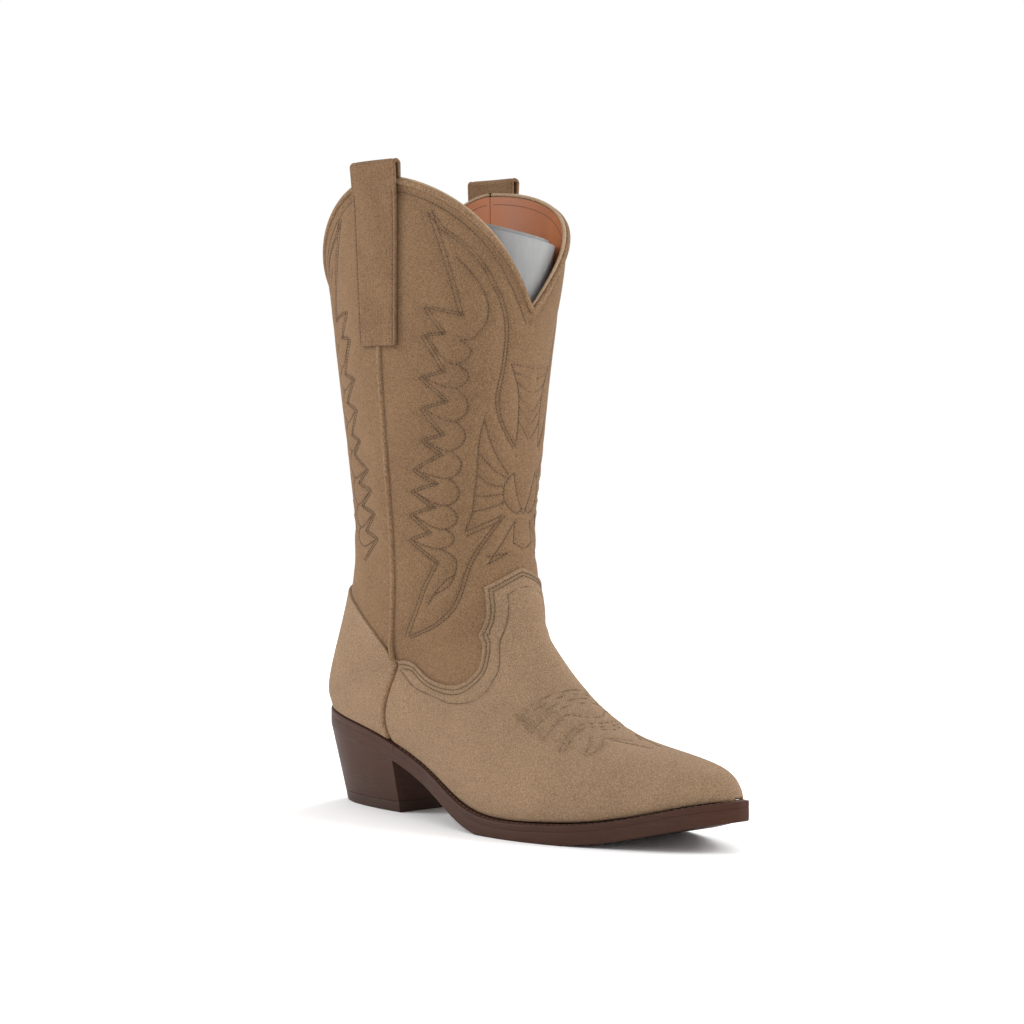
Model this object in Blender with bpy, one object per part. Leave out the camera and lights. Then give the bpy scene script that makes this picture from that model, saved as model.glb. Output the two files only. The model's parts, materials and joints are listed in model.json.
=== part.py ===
"""Western boot for the right foot: quilted shaft, tongued vamp, pull straps, welted sole, stacked heel.

Lengths are in millimetres until a mesh is made. The boot stands on z = 0 with its toe towards -Y and
its outer side towards -X. Along the foot, "ahead" is the distance in front of the heel's back.
"""
import math

import bmesh
import bpy
import numpy as np

MM = 0.001
GAP = 0.3                # clearance between touching pieces
MIDDLE_AHEAD = 138.05   # ahead of the heel's back, the world's y = 0

# The form is lofted through sections that turn from level rings round the leg to upright arches over
# the foot, like the ribs of a fan. Each station has: front point (ahead, z), end point (ahead, z),
# half widths (outer, inner), half widths at the end point (outer, inner), and the middle's x.
# The end point is the back of the leg down to the seat, and the edge of the sole from there on.
STATIONS = {
    "rim":     (160.0, 350.0,  -5.0, 350.0, 54.0, 54.0,  0.0,  0.0,  0.0),
    "calf":    (156.0, 300.0,   1.0, 300.0, 53.0, 53.0,  0.0,  0.0,  0.0),
    "shin":    (143.5, 240.0,  13.0, 240.0, 50.0, 50.0,  0.0,  0.0,  0.0),
    "cuff":    (137.5, 190.0,  21.0, 185.0, 46.0, 46.0,  0.0,  0.0,  0.0),
    "ankle":   (134.5, 155.0,  24.0, 137.0, 42.0, 42.0,  0.0,  0.0,  0.0),
    "throat":  (139.0, 128.0,  13.0, 102.0, 39.0, 39.0,  0.0,  0.0,  0.0),
    "collar":  (145.0, 112.0,  -3.5,  66.0, 36.5, 36.5,  0.0,  0.0,  0.0),
    "seat":    (147.0, 104.0,  -4.8,  53.0, 34.5, 34.5,  0.0,  0.0,  0.0),
    "rand":    (149.0, 100.0,   1.0,  51.9, 34.0, 34.0, 12.0, 12.0,  0.0),
    "heel":    (151.0,  96.0,  17.0,  49.8, 33.5, 33.5, 21.5, 21.5,  0.0),
    "quarter": (155.5,  91.0,  37.5,  46.8, 33.0, 33.0, 27.0, 27.0,  0.0),
    "breast":  (161.0,  85.0,  64.5,  41.5, 33.0, 33.0, 30.0, 28.5,  0.0),
    "waist":   (170.0,  75.0, 105.0,  28.0, 36.5, 34.0, 32.5, 28.0,  0.0),
    "joint":   (186.0,  62.0, 147.5,  12.0, 41.5, 37.5, 40.0, 34.0,  1.0),
    "ball":    (208.0,  50.5, 190.0,  10.0, 41.5, 37.0, 40.5, 36.0,  4.0),
    "box":     (236.0,  44.0, 223.0,  13.0, 34.0, 31.5, 33.0, 30.0,  8.0),
    "toe":     (260.0,  39.0, 249.5,  19.0, 23.5, 22.0, 22.5, 20.5, 10.0),
    "nose":    (271.0,  33.0, 267.0,  23.5, 13.5, 12.0, 13.0, 11.5, 11.0),
    "tip":     (278.0,  25.5, 278.0,  25.5,  2.0,  2.0,  1.0,  1.0, 12.0),
}
SEAT = 7                 # station where the back of the leg meets the sole
TIP = len(STATIONS) - 1

# Upper: side seams, as shares of the half turn from the front ridge to the back line
SEAM_OUTER = 0.465
SEAM_INNER = 0.575
SEAM_TURNS = 6.8         # station where the side seams start to run down to the sole
SEAM_ENDS = 11.2         # station where they reach it
SIDE_HEIGHT = 330.0      # top line at the side seams
DIP_HEIGHT = 263.0       # top line at the front and back dips
BACK_DIP_HEIGHT = 264.0

# Layers of the upper, as distances outside the form
LEATHER = (-1.0, 0.0)
COVER = (0.5, 1.6)       # vamp and heel cover lie over the shaft leather
STIFFENER = (-0.9, -0.3)
LINING = (-2.9, -1.8)
BINDING_RADIUS = 1.5
PIPING_RADIUS = 1.0

# Pull straps
STRAP_WIDTH = 32.0
STRAP_THICKNESS = 2.0
STRAP_FOOT = 245.0
STRAP_INNER_END = -1.45    # distance outside the form of the end caught in the binding
STRAP_LANDING = 2.0       # height of that end above the middle of the binding
STRAP_CROWN = 339.5

# Sole and heel; depths are below the edge where the upper meets the sole
BOARD_TOP = 2.0
BOARD_UNDER = -0.5
WELT_TOP = -1.0
WELT_UNDER = -4.0
OUTSOLE_TOP = -4.6
OUTSOLE_WAIST = 4.7
OUTSOLE_TREAD = 6.4
WELT_REACH = 5.0
WAIST_REACH = 3.0
SEAT_REACH = 2.4
TOP_LIFT = 6.0
HEEL_BREAST = 11.28      # station of the heel's front
HEEL_BACK_FOOT = 3.0     # ahead, the heel's back at the floor
HEEL_FOOT_SCALE = (0.67, 0.795)

# Rolled sheet that keeps the shaft in shape
FORMER_BOTTOM = 118.0
FORMER_SHEET = 0.8
FORMER_TURNS = 1.35
FORMER_TIGHTENS = 0.085  # share of its width that the roll loses towards its inner end
FORMER_TOP = (301.0, 134.0)     # height of the cut top at this distance ahead, in the middle
FORMER_SLANT = (-0.16, -0.17)   # rise of the cut per millimetre to the inner side and ahead


def spline(values, first=0, last=None, level_start=False):
    """Cubic through one value per station, from first to last, with free or level start."""
    y = np.array(values[first:last], float)
    n = len(y)
    system = np.eye(n)
    right = np.zeros(n)
    if level_start:
        system[0, :2] = 2.0, 1.0
        right[0] = 6.0 * (y[1] - y[0])
    for i in range(1, n - 1):
        system[i, i - 1:i + 2] = 1.0, 4.0, 1.0
        right[i] = 6.0 * (y[i + 1] - 2.0 * y[i] + y[i - 1])
    bend = np.linalg.solve(system, right)

    def curve(s):
        u = np.asarray(s, float) - first
        k = np.clip(np.floor(u).astype(int), 0, n - 2)
        t = u - k
        slope = y[k + 1] - y[k] - (2.0 * bend[k] + bend[k + 1]) / 6.0
        return y[k] + t * (slope + t * (bend[k] / 2.0 + t * (bend[k + 1] - bend[k]) / 6.0))
    return curve


def bent_line(values):
    """Back line down to the seat, then the sole's edge, which starts square to it."""
    leg = spline(values, 0, SEAT + 1)
    sole = spline(values, SEAT, None, True)
    return lambda s: np.where(np.asarray(s) < SEAT, leg(s), sole(np.maximum(s, SEAT)))


COLUMNS = list(zip(*STATIONS.values()))
FRONT_AHEAD, FRONT_Z, HALF_OUTER, HALF_INNER, MIDDLE_X = (spline(COLUMNS[k]) for k in (0, 1, 4, 5, 8))
END_AHEAD, END_Z = bent_line(COLUMNS[2]), bent_line(COLUMNS[3])
EDGE_OUTER, EDGE_INNER = (spline(c, SEAT) for c in COLUMNS[6:8])


def form(s, t):
    """Point of the form: s counts stations, t runs from -1 (outer end) over the ridge at 0 to 1."""
    s, t = np.broadcast_arrays(np.asarray(s, float), np.asarray(t, float))
    half = np.where(t < 0, HALF_OUTER(s), HALF_INNER(s))
    edge = np.where(t < 0, EDGE_OUTER(np.maximum(s, SEAT)), EDGE_INNER(np.maximum(s, SEAT)))
    edge = np.where(s <= SEAT, 0.0, np.clip(edge, 0.0, 0.999 * half))
    end_angle = math.pi - np.arcsin(edge / half)
    angle = np.abs(t) * end_angle
    share = (1.0 - np.cos(angle)) / (1.0 - np.cos(end_angle))
    x = MIDDLE_X(s) + half * np.sin(angle) * np.sign(t)
    ahead = FRONT_AHEAD(s) + (END_AHEAD(s) - FRONT_AHEAD(s)) * share
    z = FRONT_Z(s) + (END_Z(s) - FRONT_Z(s)) * share
    return np.stack([x, MIDDLE_AHEAD - ahead, z], -1)


def skin(s, t, offset):
    """Point at a distance outside the form."""
    s, t = np.broadcast_arrays(np.asarray(s, float), np.asarray(t, float))
    step = 0.004
    down = form(np.minimum(s + step, TIP), t) - form(s - step, t)
    across = form(s, np.minimum(t + step, 1.0)) - form(s, np.maximum(t - step, -1.0))
    normal = np.cross(down, across)
    above_sole = np.where(s < SEAT, 1.0, np.clip((1.0 - np.abs(t)) / 0.12, 0.0, 1.0))
    normal[..., 2] *= above_sole
    normal /= np.maximum(np.linalg.norm(normal, axis=-1, keepdims=True), 1e-9)
    return form(s, t) + normal * np.asarray(offset, float)[..., None]


def leg_station(z):
    """Station of a level ring of the leg at height z."""
    stations = np.linspace(-0.4, 2.0, 200)
    return np.interp(-np.asarray(z, float), -FRONT_Z(stations), stations)


def seam_share(s, side, shift=0.0):
    """Where a side seam lies, as t, at station s; shift moves it towards the back."""
    start = SEAM_OUTER if side < 0 else SEAM_INNER
    run = np.clip((s + 0.07 * shift - SEAM_TURNS) / (SEAM_ENDS - SEAM_TURNS), 0.0, 1.0) ** 1.6
    return start + (1.0 - start) * run + 0.0085 * shift * (1.0 - run)


def top_height(t):
    """Height of the scalloped top line: high at the side seams, dipped at front and back."""
    t = np.asarray(t, float)
    seam = np.where(t < 0, SEAM_OUTER, SEAM_INNER)
    ahead = np.sqrt(t * t + 0.015 ** 2) - 0.015
    front = np.clip(ahead / seam, 0.0, 1.0)
    back = np.clip((1.0 - np.abs(t)) / (1.0 - seam), 0.0, 1.0)
    front_z = DIP_HEIGHT + (SIDE_HEIGHT - DIP_HEIGHT) * np.sin(math.pi / 2 * front ** 0.9)
    back_z = BACK_DIP_HEIGHT + (SIDE_HEIGHT - BACK_DIP_HEIGHT) * np.sin(math.pi / 2 * back ** 1.5)
    return np.where(np.abs(t) < seam, front_z, back_z)


# ---------------------------------------------------------------- meshes

def material(name, colour, roughness, metallic=0.0):
    """One Principled material."""
    made = bpy.data.materials.new(name)
    made.use_nodes = True
    shader = made.node_tree.nodes["Principled BSDF"]
    shader.inputs["Base Color"].default_value = (*colour, 1.0)
    shader.inputs["Roughness"].default_value = roughness
    shader.inputs["Metallic"].default_value = metallic
    return made


def add_object(name, points, faces, look, smooth_angle=40.0):
    """Closed mesh from points in millimetres: doubles welded, faces turned outwards."""
    mesh = bpy.data.meshes.new(name)
    work = bmesh.new()
    corners = [work.verts.new(np.asarray(p, float) * MM) for p in points]
    for face in faces:
        if len(set(face)) > 2:
            work.faces.new([corners[i] for i in face])
    bmesh.ops.remove_doubles(work, verts=work.verts, dist=0.02 * MM)
    bmesh.ops.dissolve_degenerate(work, edges=work.edges, dist=0.005 * MM)
    bmesh.ops.recalc_face_normals(work, faces=work.faces)
    if work.calc_volume(signed=True) < 0:
        bmesh.ops.reverse_faces(work, faces=work.faces)
    bmesh.ops.triangulate(work, faces=work.faces)
    work.to_mesh(mesh)
    work.free()
    mesh.materials.append(look)
    mesh.shade_smooth()
    mesh.set_sharp_from_angle(angle=math.radians(smooth_angle))
    made = bpy.data.objects.new(name, mesh)
    bpy.context.scene.collection.objects.link(made)
    return made


def sheet_faces(rows, cols, first=0, flip=False):
    """Quads of a grid of points stored row by row."""
    quads = []
    for r in range(rows - 1):
        for c in range(cols - 1):
            a = first + r * cols + c
            quad = (a, a + 1, a + cols + 1, a + cols)
            quads.append(quad[::-1] if flip else quad)
    return quads


def rim_faces(rim, gap):
    """Quads between a closed run of points and the same run gap further on in the list."""
    return [(a, rim[i - 1], rim[i - 1] + gap, a + gap) for i, a in enumerate(rim)]


def grid_rim(rows, cols, first=0):
    """Point numbers round the edge of a grid."""
    top = [first + c for c in range(cols)]
    right = [first + r * cols + cols - 1 for r in range(1, rows)]
    bottom = [first + (rows - 1) * cols + c for c in range(cols - 2, -1, -1)]
    left = [first + r * cols for r in range(rows - 2, 0, -1)]
    return top + right + bottom + left


def slab(name, s, t, layer, look):
    """Panel of even thickness over a grid of form coordinates."""
    rows, cols = s.shape
    inside = skin(s, t, np.full(s.shape, layer[0])).reshape(-1, 3)
    outside = skin(s, t, np.full(s.shape, layer[1])).reshape(-1, 3)
    count = rows * cols
    faces = sheet_faces(rows, cols, 0) + sheet_faces(rows, cols, count, True)
    faces += rim_faces(grid_rim(rows, cols), count)
    return add_object(name, np.vstack([inside, outside]), faces, look)


def half_slabs(name, halves, layer, look):
    """Panel of two half grids that share the back line above the seat and part below it.

    halves holds (s, t) of the outer and the inner half, column 0 on the back line, and the number
    of rows that the halves share.
    """
    (s_out, t_out), (s_in, t_in), shared = halves
    points = []
    faces = []
    for s, t, flip in ((s_out, t_out, False), (s_in, t_in, True)):
        rows, cols = s.shape
        first = len(points)
        count = rows * cols
        for level in layer:
            points += list(skin(s, t, np.full(s.shape, level)).reshape(-1, 3))
        faces += sheet_faces(rows, cols, first, flip)
        faces += sheet_faces(rows, cols, first + count, not flip)
        back_line = {first + r * cols for r in range(shared)}
        rim = grid_rim(rows, cols, first)
        faces += [f for f in rim_faces(rim, count) if not {f[0], f[1]} <= back_line]
    for level in range(2):
        join_back_line(points, s_out.shape, level, shared)
    return add_object(name, points, faces, look)


def join_back_line(points, shape, level, shared):
    """Puts the inner half's back line exactly on the outer half's."""
    rows, cols = shape
    inner_first = 2 * rows * cols
    for r in range(shared):
        place = level * rows * cols + r * cols
        points[inner_first + place] = points[place]


def tube(name, path, radius, look):
    """Cord with flat ends along a path."""
    curve = bpy.data.curves.new(name, "CURVE")
    curve.dimensions = "3D"
    curve.bevel_depth = radius * MM
    curve.bevel_resolution = 2
    curve.use_fill_caps = True
    run = curve.splines.new("POLY")
    run.points.add(len(path) - 1)
    for point, place in zip(run.points, path):
        point.co = (*(np.asarray(place, float) * MM), 1.0)
    curve.materials.append(look)
    made = bpy.data.objects.new(name, curve)
    bpy.context.scene.collection.objects.link(made)
    return made


def ladder(name, levels, look):
    """Solid between levels, each a pair of point rows (outer side, inner side) joined by rungs."""
    steps = len(levels[0][0])
    points = [p for outer, inner in levels for p in (*outer, *inner)]
    faces = []
    for level, flip in ((0, False), (len(levels) - 1, True)):
        first = level * 2 * steps
        for k in range(steps - 1):
            quad = (first + k, first + k + 1, first + steps + k + 1, first + steps + k)
            faces.append(quad[::-1] if flip else quad)
    ring = list(range(steps)) + list(range(2 * steps - 1, steps - 1, -1))
    for level in range(len(levels) - 1):
        faces += rim_faces([level * 2 * steps + i for i in ring], 2 * steps)
    return add_object(name, points, faces, look, 30.0)


def strip(name, lines, look):
    """Bar with a four-sided section, its corners along four lines of points."""
    n = len(lines[0])
    faces = []
    for line in range(4):
        for k in range(n - 1):
            a = line * n + k
            b = (line + 1) % 4 * n + k
            faces.append((a, a + 1, b + 1, b))
    faces += [(0, n, 2 * n, 3 * n), (4 * n - 1, 3 * n - 1, 2 * n - 1, n - 1)]
    return add_object(name, np.vstack(lines), faces, look, 30.0)


# ---------------------------------------------------------------- upper

def front_grid(top, bottom, rows, cols, inset=1.0):
    """Coordinates between the side seams at the front, from a top to a bottom station by share."""
    share = np.linspace(-1.0, 1.0, cols)
    down = np.linspace(0.0, 1.0, rows)[:, None]
    s = top(share) + (bottom(share) - top(share)) * down
    reach = np.where(share < 0, seam_share(s, -1, -inset), seam_share(s, 1, -inset))
    return s, share * reach


def quarter_halves(top, last, above, below, cols, inset=1.0):
    """Coordinates behind the side seams: rows down to the seat, then rows round it to the seams."""
    share = np.linspace(0.0, 1.0, cols)
    grids = []
    for side in (-1, 1):
        start = top(share, side)
        upper = start + (SEAT - start) * np.linspace(0.0, 1.0, above)[:, None]
        lower = np.linspace(SEAT, last, below)[1:, None] + np.zeros(cols)
        s = np.vstack([upper, lower])
        t = 1.0 - share * (1.0 - np.minimum(seam_share(s, side, inset), 1.0))
        grids.append((s, side * t))
    return grids[0], grids[1], above


def top_station(t, drop=2.4):
    """Station of the leather's top edge, a drop below the binding's middle, square to its slope."""
    step = 0.004
    z = top_height(t)
    rise = top_height(t + step) - top_height(t - step)
    run = np.linalg.norm(form(0.7, t + step) - form(0.7, t - step), axis=-1)
    return leg_station(z - drop * np.sqrt(1.0 + (rise / run) ** 2))


TONGUE = (
    # share of the way to the seam, station: the vamp's top edge from the ridge round to the seam
    (0.000, 4.86), (0.090, 4.94), (0.180, 5.03), (0.270, 5.13), (0.360, 5.22), (0.375, 5.85), (0.415, 6.50),
    (0.470, 7.40), (0.450, 8.60), (0.452, 9.80), (0.480, 10.45), (0.560, 10.75), (0.670, 10.30),
    (0.790, 9.30), (0.900, 8.00), (1.000, 6.80),
)
FRONT_FOOT = (
    # the same for the shaft front's lower edge, under the vamp
    (0.0, 10.6), (0.3, 10.8), (0.5, 11.1), (0.6, 11.05), (0.7, 10.6), (0.8, 9.6), (0.9, 8.5),
    (1.0, 7.15),
)
TONGUE_LANDS = (0.0, 0.035, 0.07, 0.10, 0.13, 0.16, 0.19, 0.23, 0.30, 0.37, 0.44, 0.54, 0.66, 0.78, 0.90, 1.0)


def vamp_grid(rows):
    """Coordinates of the vamp: columns leave its tongued top edge and fan out to the sole's edge."""
    half = np.array(TONGUE)
    edge = np.vstack([half[:0:-1] * (-1.0, 1.0), half])
    lands = np.array(TONGUE_LANDS)
    lands = np.concatenate([-lands[:0:-1], lands])
    down = np.linspace(0.0, 1.0, rows)[:, None]
    s = edge[:, 1] + (TIP - edge[:, 1]) * down
    share = edge[:, 0] + (lands - edge[:, 0]) * down ** 0.8
    reach = np.where(share < 0, seam_share(s, -1, -1.0), seam_share(s, 1, -1.0))
    return s, share * np.minimum(reach, 1.0)


def build_shaft(looks):
    """Front and back panels of the shaft."""
    def front_foot(share):
        return np.interp(np.abs(share), *np.transpose(FRONT_FOOT))
    s, t = front_grid(lambda q: top_station(np.where(q < 0, SEAM_OUTER, SEAM_INNER) * q),
                      front_foot, 19, 21)
    slab("shaft_front", s, t, LEATHER, looks["suede"])

    grids = []
    share = np.linspace(0.0, 1.0, 8)
    for side in (1, -1):
        seam = SEAM_OUTER if side < 0 else SEAM_INNER
        start = top_station(side * (1.0 - share * (1.0 - seam)))
        s = start + (heel_cover_top(share) + 0.25 - start) * np.linspace(0.0, 1.0, 15)[:, None]
        t = 1.0 - share * (1.0 - seam_share(s, side, 1.0))
        grids.append((s, side * t))
    slab_round_back("shaft_back", grids, LEATHER, looks["suede"])


def slab_round_back(name, grids, layer, look):
    """Panel across the back line, from an inner and an outer half grid."""
    (s_in, t_in), (s_out, t_out) = grids
    s = np.hstack([s_out[:, ::-1], s_in[:, 1:]])
    t = np.hstack([t_out[:, ::-1], t_in[:, 1:]])
    return slab(name, s, t, layer, look)


def heel_cover_top(share):
    """Station of the heel cover's top edge, a dip at the seams (share 1) and a hump at the back."""
    return 4.45 + 2.1 * (1.0 - np.sqrt(np.clip(1.0 - share ** 2, 0.0, 1.0)))


def build_foot_covers(looks):
    """Vamp, heel cover and the stiffeners under them."""
    s, t = vamp_grid(15)
    slab("vamp", s, t, COVER, looks["suede"])
    halves = quarter_halves(lambda q, side: heel_cover_top(q), 11.1, 6, 9, 10)
    half_slabs("counter_cover", halves, COVER, looks["suede"])
    halves = quarter_halves(lambda q, side: heel_cover_top(q) + 0.45, 10.4, 6, 8, 8, 4.0)
    half_slabs("heel_counter", halves, STIFFENER, looks["board"])
    share = np.linspace(-1.0, 1.0, 13)
    s = 15.4 + 0.3 * share ** 2 + (17.6 - 15.4 - 0.3 * share ** 2) * np.linspace(0, 1, 8)[:, None]
    slab("toe_puff", s, share * 0.94 + 0.0 * s, STIFFENER, looks["board"])


def build_linings(looks):
    """Smooth linings of the shaft's front, the shaft's back with the heel, and the foot."""
    def bottom(share):
        return np.full(np.shape(share), 7.2)
    s, t = front_grid(lambda q: top_station(np.where(q < 0, SEAM_OUTER, SEAM_INNER) * q),
                      bottom, 14, 15, 0.2)
    slab("shaft_lining_front", s, t, LINING, looks["lining"])

    def top(share, side):
        seam = SEAM_OUTER if side < 0 else SEAM_INNER
        return top_station(side * (1.0 - share * (1.0 - seam)))
    halves = quarter_halves(top, 11.1, 12, 8, 7, 0.2)
    half_slabs("lining_back", halves, LINING, looks["lining"])
    share = np.linspace(-1.0, 1.0, 15)
    s = 7.24 + (17.5 - 7.24) * np.linspace(0.0, 1.0, 13)[:, None] + 0.0 * share
    reach = np.where(share < 0, seam_share(s, -1, -0.2), seam_share(s, 1, -0.2))
    slab("vamp_lining", s, share * np.minimum(reach, 1.0), LINING, looks["lining"])


def build_trims(looks):
    """Binding of the top line and piping of the side seams."""
    middle = (LEATHER[1] + LINING[0]) / 2
    ends = 0.006
    front = np.linspace(-SEAM_OUTER + ends, SEAM_INNER - ends, 35)
    back = np.linspace(SEAM_INNER + ends, 2.0 - SEAM_OUTER - ends, 29)
    back = np.where(back > 1.0, back - 2.0, back)
    for name, t in (("top_binding_front", front), ("top_binding_back", back)):
        path = skin(leg_station(top_height(t)), t, np.full(t.shape, middle))
        tube(name, path, BINDING_RADIUS, looks["trim"])
    for name, side in (("side_piping_outer", -1), ("side_piping_inner", 1)):
        s = np.linspace(float(leg_station(STRAP_FOOT - 2.0)), 11.1, 30)
        lift = 0.1 + 0.8 * np.clip(s - 5.6, 0.0, 1.0)
        tube(name, skin(s, side * seam_share(s, side), lift), PIPING_RADIUS, looks["trim"])


def strap_profile():
    """Middle line of a strap as (distance outside the form, height) up the outside and over the crown."""
    outer = 0.5 + STRAP_THICKNESS / 2
    crown = STRAP_CROWN - STRAP_THICKNESS / 2
    half = (outer + 1.3 - STRAP_INNER_END) / 2
    shoulder = crown - half * 0.9
    up = [(outer, z) for z in np.linspace(STRAP_FOOT, SIDE_HEIGHT - 10.0, 6)]
    arc = [(STRAP_INNER_END + half * (1.0 + math.cos(a)), shoulder + half * 0.9 * math.sin(a))
           for a in np.linspace(0.0, math.pi, 9)]
    return np.array(up + arc)


def build_straps(looks):
    """Pull straps: doubled webbing folded over the top line, the inner end caught in the binding."""
    line = strap_profile()
    run = np.gradient(line, axis=0)
    run[-1] = (0.0, -1.0)
    side_step = np.column_stack([run[:, 1], -run[:, 0]])
    side_step *= STRAP_THICKNESS / 2 / np.linalg.norm(side_step, axis=1, keepdims=True)
    for name, side, seam in (("pull_strap_outer", -1, SEAM_OUTER), ("pull_strap_inner", 1, SEAM_INNER)):
        reach = form(0.5, side * (seam + 0.01)) - form(0.5, side * (seam - 0.01))
        per_share = np.linalg.norm(reach) / 0.02
        t = side * (np.linspace(-0.5, 0.5, 9) * STRAP_WIDTH / per_share + seam)
        landing = top_height(t) + STRAP_LANDING
        points = []
        for level in (line - side_step, line + side_step):
            z = level[:, 1][:, None] + 0.0 * t
            z = np.vstack([z, (z[-1] + landing) / 2, landing])
            offset = np.append(level[:, 0], [level[-1, 0]] * 2)[:, None] + 0.0 * t
            points.append(skin(leg_station(z), t + 0.0 * z, offset).reshape(-1, 3))
        rows, cols = len(line) + 2, len(t)
        faces = sheet_faces(rows, cols) + sheet_faces(rows, cols, rows * cols, True)
        faces += rim_faces(grid_rim(rows, cols), rows * cols)
        add_object(name, np.vstack(points), faces, looks["strap"])


# ---------------------------------------------------------------- sole

def edge_line(stations, reach):
    """Sole edge at the given stations, reach outside the form: outer side and inner side rows."""
    s = np.asarray(stations, float)
    fine = np.linspace(SEAT, TIP, 221)
    outer = form(fine, -1.0)
    inner = form(fine, 1.0)
    loop = np.vstack([outer[::-1], inner[1:]])
    tangent = np.gradient(loop[:, :2], axis=0)
    tangent[0] = tangent[-1] = (1.0, 0.0)
    tangent[0][0] = -1.0
    normal = np.column_stack([tangent[:, 1], -tangent[:, 0]])
    normal /= np.linalg.norm(normal, axis=1, keepdims=True)
    if np.dot(normal[220], (0.0, 1.0)) < 0:
        normal = -normal
    normal[0] = (-0.35, -0.94)
    normal[-1] = (0.35, -0.94)
    reach_fine = np.interp(fine, s, np.broadcast_to(reach, s.shape))
    distance = np.concatenate([reach_fine[::-1], reach_fine[1:]])[:, None]
    moved = np.column_stack([loop[:, :2] + normal * distance, loop[:, 2]])
    rows = (moved[220::-1], moved[220:])
    return [np.column_stack([np.interp(s, fine, row[:, k]) for k in range(3)]) for row in rows]


def at_height(row, z):
    """The same row of points at another height."""
    return np.column_stack([row[:, :2], np.broadcast_to(z, len(row))])


def bottom_height(ahead):
    """Height of the edge where the upper meets the sole, carried on straight past the toe."""
    fine = np.linspace(SEAT, TIP, 221)
    past_toe = (ahead - END_AHEAD(TIP)).clip(0.0) * 0.22
    return np.interp(ahead, END_AHEAD(fine), END_Z(fine)) + past_toe


def at_depth(row, depth):
    """The same row of points on the bottom's curve, moved up or down by depth."""
    return at_height(row, bottom_height(MIDDLE_AHEAD - row[:, 1]) + depth)


def plate(name, stations, reach, top, bottom, look):
    """Piece of the bottom between two depths, following the bottom's curve."""
    rows = edge_line(stations, reach)
    return ladder(name, [[at_depth(row, d) for row in rows] for d in (top, bottom)], look)


def sole_stations(first, last, count):
    """Stations spaced closer towards both ends of the sole."""
    share = np.linspace(0.0, 1.0, count)
    eased = 0.5 - 0.5 * np.cos(math.pi * share)
    return first + (last - first) * (0.5 * share + 0.5 * eased)


def sole_reach(s):
    """How far the outsole stands outside the upper."""
    waist = SEAT_REACH + (WAIST_REACH - SEAT_REACH) * np.clip(s - 10.5, 0.0, 1.0)
    return waist + (WELT_REACH - WAIST_REACH) * np.clip((s - 12.0) / 1.5, 0.0, 1.0)


def underside(row, s, gap=0.0):
    """A row of points on the outsole's underside, which is level where it meets the floor."""
    depth = OUTSOLE_WAIST + (OUTSOLE_TREAD - OUTSOLE_WAIST) * np.clip((s - 11.5) / 1.5, 0.0, 1.0)
    curved = at_depth(row, OUTSOLE_TOP - depth - gap)
    return at_height(row, np.maximum(curved[:, 2], 0.0))


def build_inner_bottom(looks):
    """Insole board, sock liner, shank and cork filler."""
    s = sole_stations(7.25, 17.55, 26)
    plate("insole_board", s, -4.0, BOARD_TOP, BOARD_UNDER, looks["board"])
    plate("sock_liner", s, -4.3, BOARD_TOP + 2.0, BOARD_TOP + 0.35, looks["lining"])
    s = sole_stations(13.0, 17.0, 14)
    plate("bottom_filler", s, -6.5, WELT_TOP - 0.1, WELT_UNDER + 0.2, looks["cork"])
    s = np.linspace(10.0, 12.85, 9)
    y = MIDDLE_AHEAD - END_AHEAD(s)
    rows = [np.column_stack([MIDDLE_X(s) + side * 6.0, y, y]) for side in (-1, 1)]
    ladder("shank", [[at_depth(row, d) for row in rows] for d in (-1.2, -3.0)], looks["steel"])


def edge_strip(name, stations, from_back, look):
    """Welt or rand: strip under the upper's edge, round the toe or round the heel."""
    far_rows = edge_line(stations, sole_reach(stations))
    near_rows = edge_line(stations, -5.0)
    if from_back:
        far, near = (np.vstack([outer[::-1], inner[1:]]) for outer, inner in (far_rows, near_rows))
    else:
        far, near = (np.vstack([outer, inner[::-1]]) for outer, inner in (far_rows, near_rows))
    lines = [at_depth(far, WELT_TOP), at_depth(near, WELT_TOP),
             at_depth(near, WELT_UNDER), at_depth(far, WELT_UNDER)]
    return strip(name, lines, look)


def build_sole(looks):
    """Welt, heel rand, outsole, heel block and top lift."""
    edge_strip("welt", sole_stations(11.35, TIP, 22), False, looks["sole"])
    edge_strip("heel_rand", sole_stations(SEAT, 11.3, 14), True, looks["sole"])
    s = sole_stations(SEAT, TIP, 40)
    rows = edge_line(s, sole_reach(s))
    levels = [[at_depth(row, OUTSOLE_TOP) for row in rows], [underside(row, s) for row in rows]]
    outsole = ladder("outsole", levels, looks["sole"])
    build_heel(looks, outsole)


def heel_level(s, share):
    """Outline of the stacked heel, from the outsole (share 0) down to the floor (share 1)."""
    outer, inner = edge_line(s, SEAT_REACH)
    back = outer[0, 1]
    scale_x = 1.0 + (HEEL_FOOT_SCALE[0] - 1.0) * share
    scale_y = 1.0 + (HEEL_FOOT_SCALE[1] - 1.0) * share
    shift = share * (HEEL_BACK_FOOT - (MIDDLE_AHEAD - back))
    rows = []
    for row in (outer, inner):
        y = back - shift + (row[:, 1] - back) * scale_y
        rows.append(np.column_stack([row[:, 0] * scale_x, y, row[:, 2]]))
    return rows


def cylinder(name, x, ahead, low, high, radius, look, sides=8):
    """Upright round pin."""
    turn = [2 * math.pi * k / sides for k in range(sides)]
    points = [(x + radius * math.cos(a), MIDDLE_AHEAD - ahead + radius * math.sin(a), z)
              for z in (low, high) for a in turn]
    faces = [tuple(range(sides))[::-1], tuple(range(sides, 2 * sides))]
    faces += [(k, (k + 1) % sides, sides + (k + 1) % sides, sides + k) for k in range(sides)]
    return add_object(name, points, faces, look)


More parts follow.
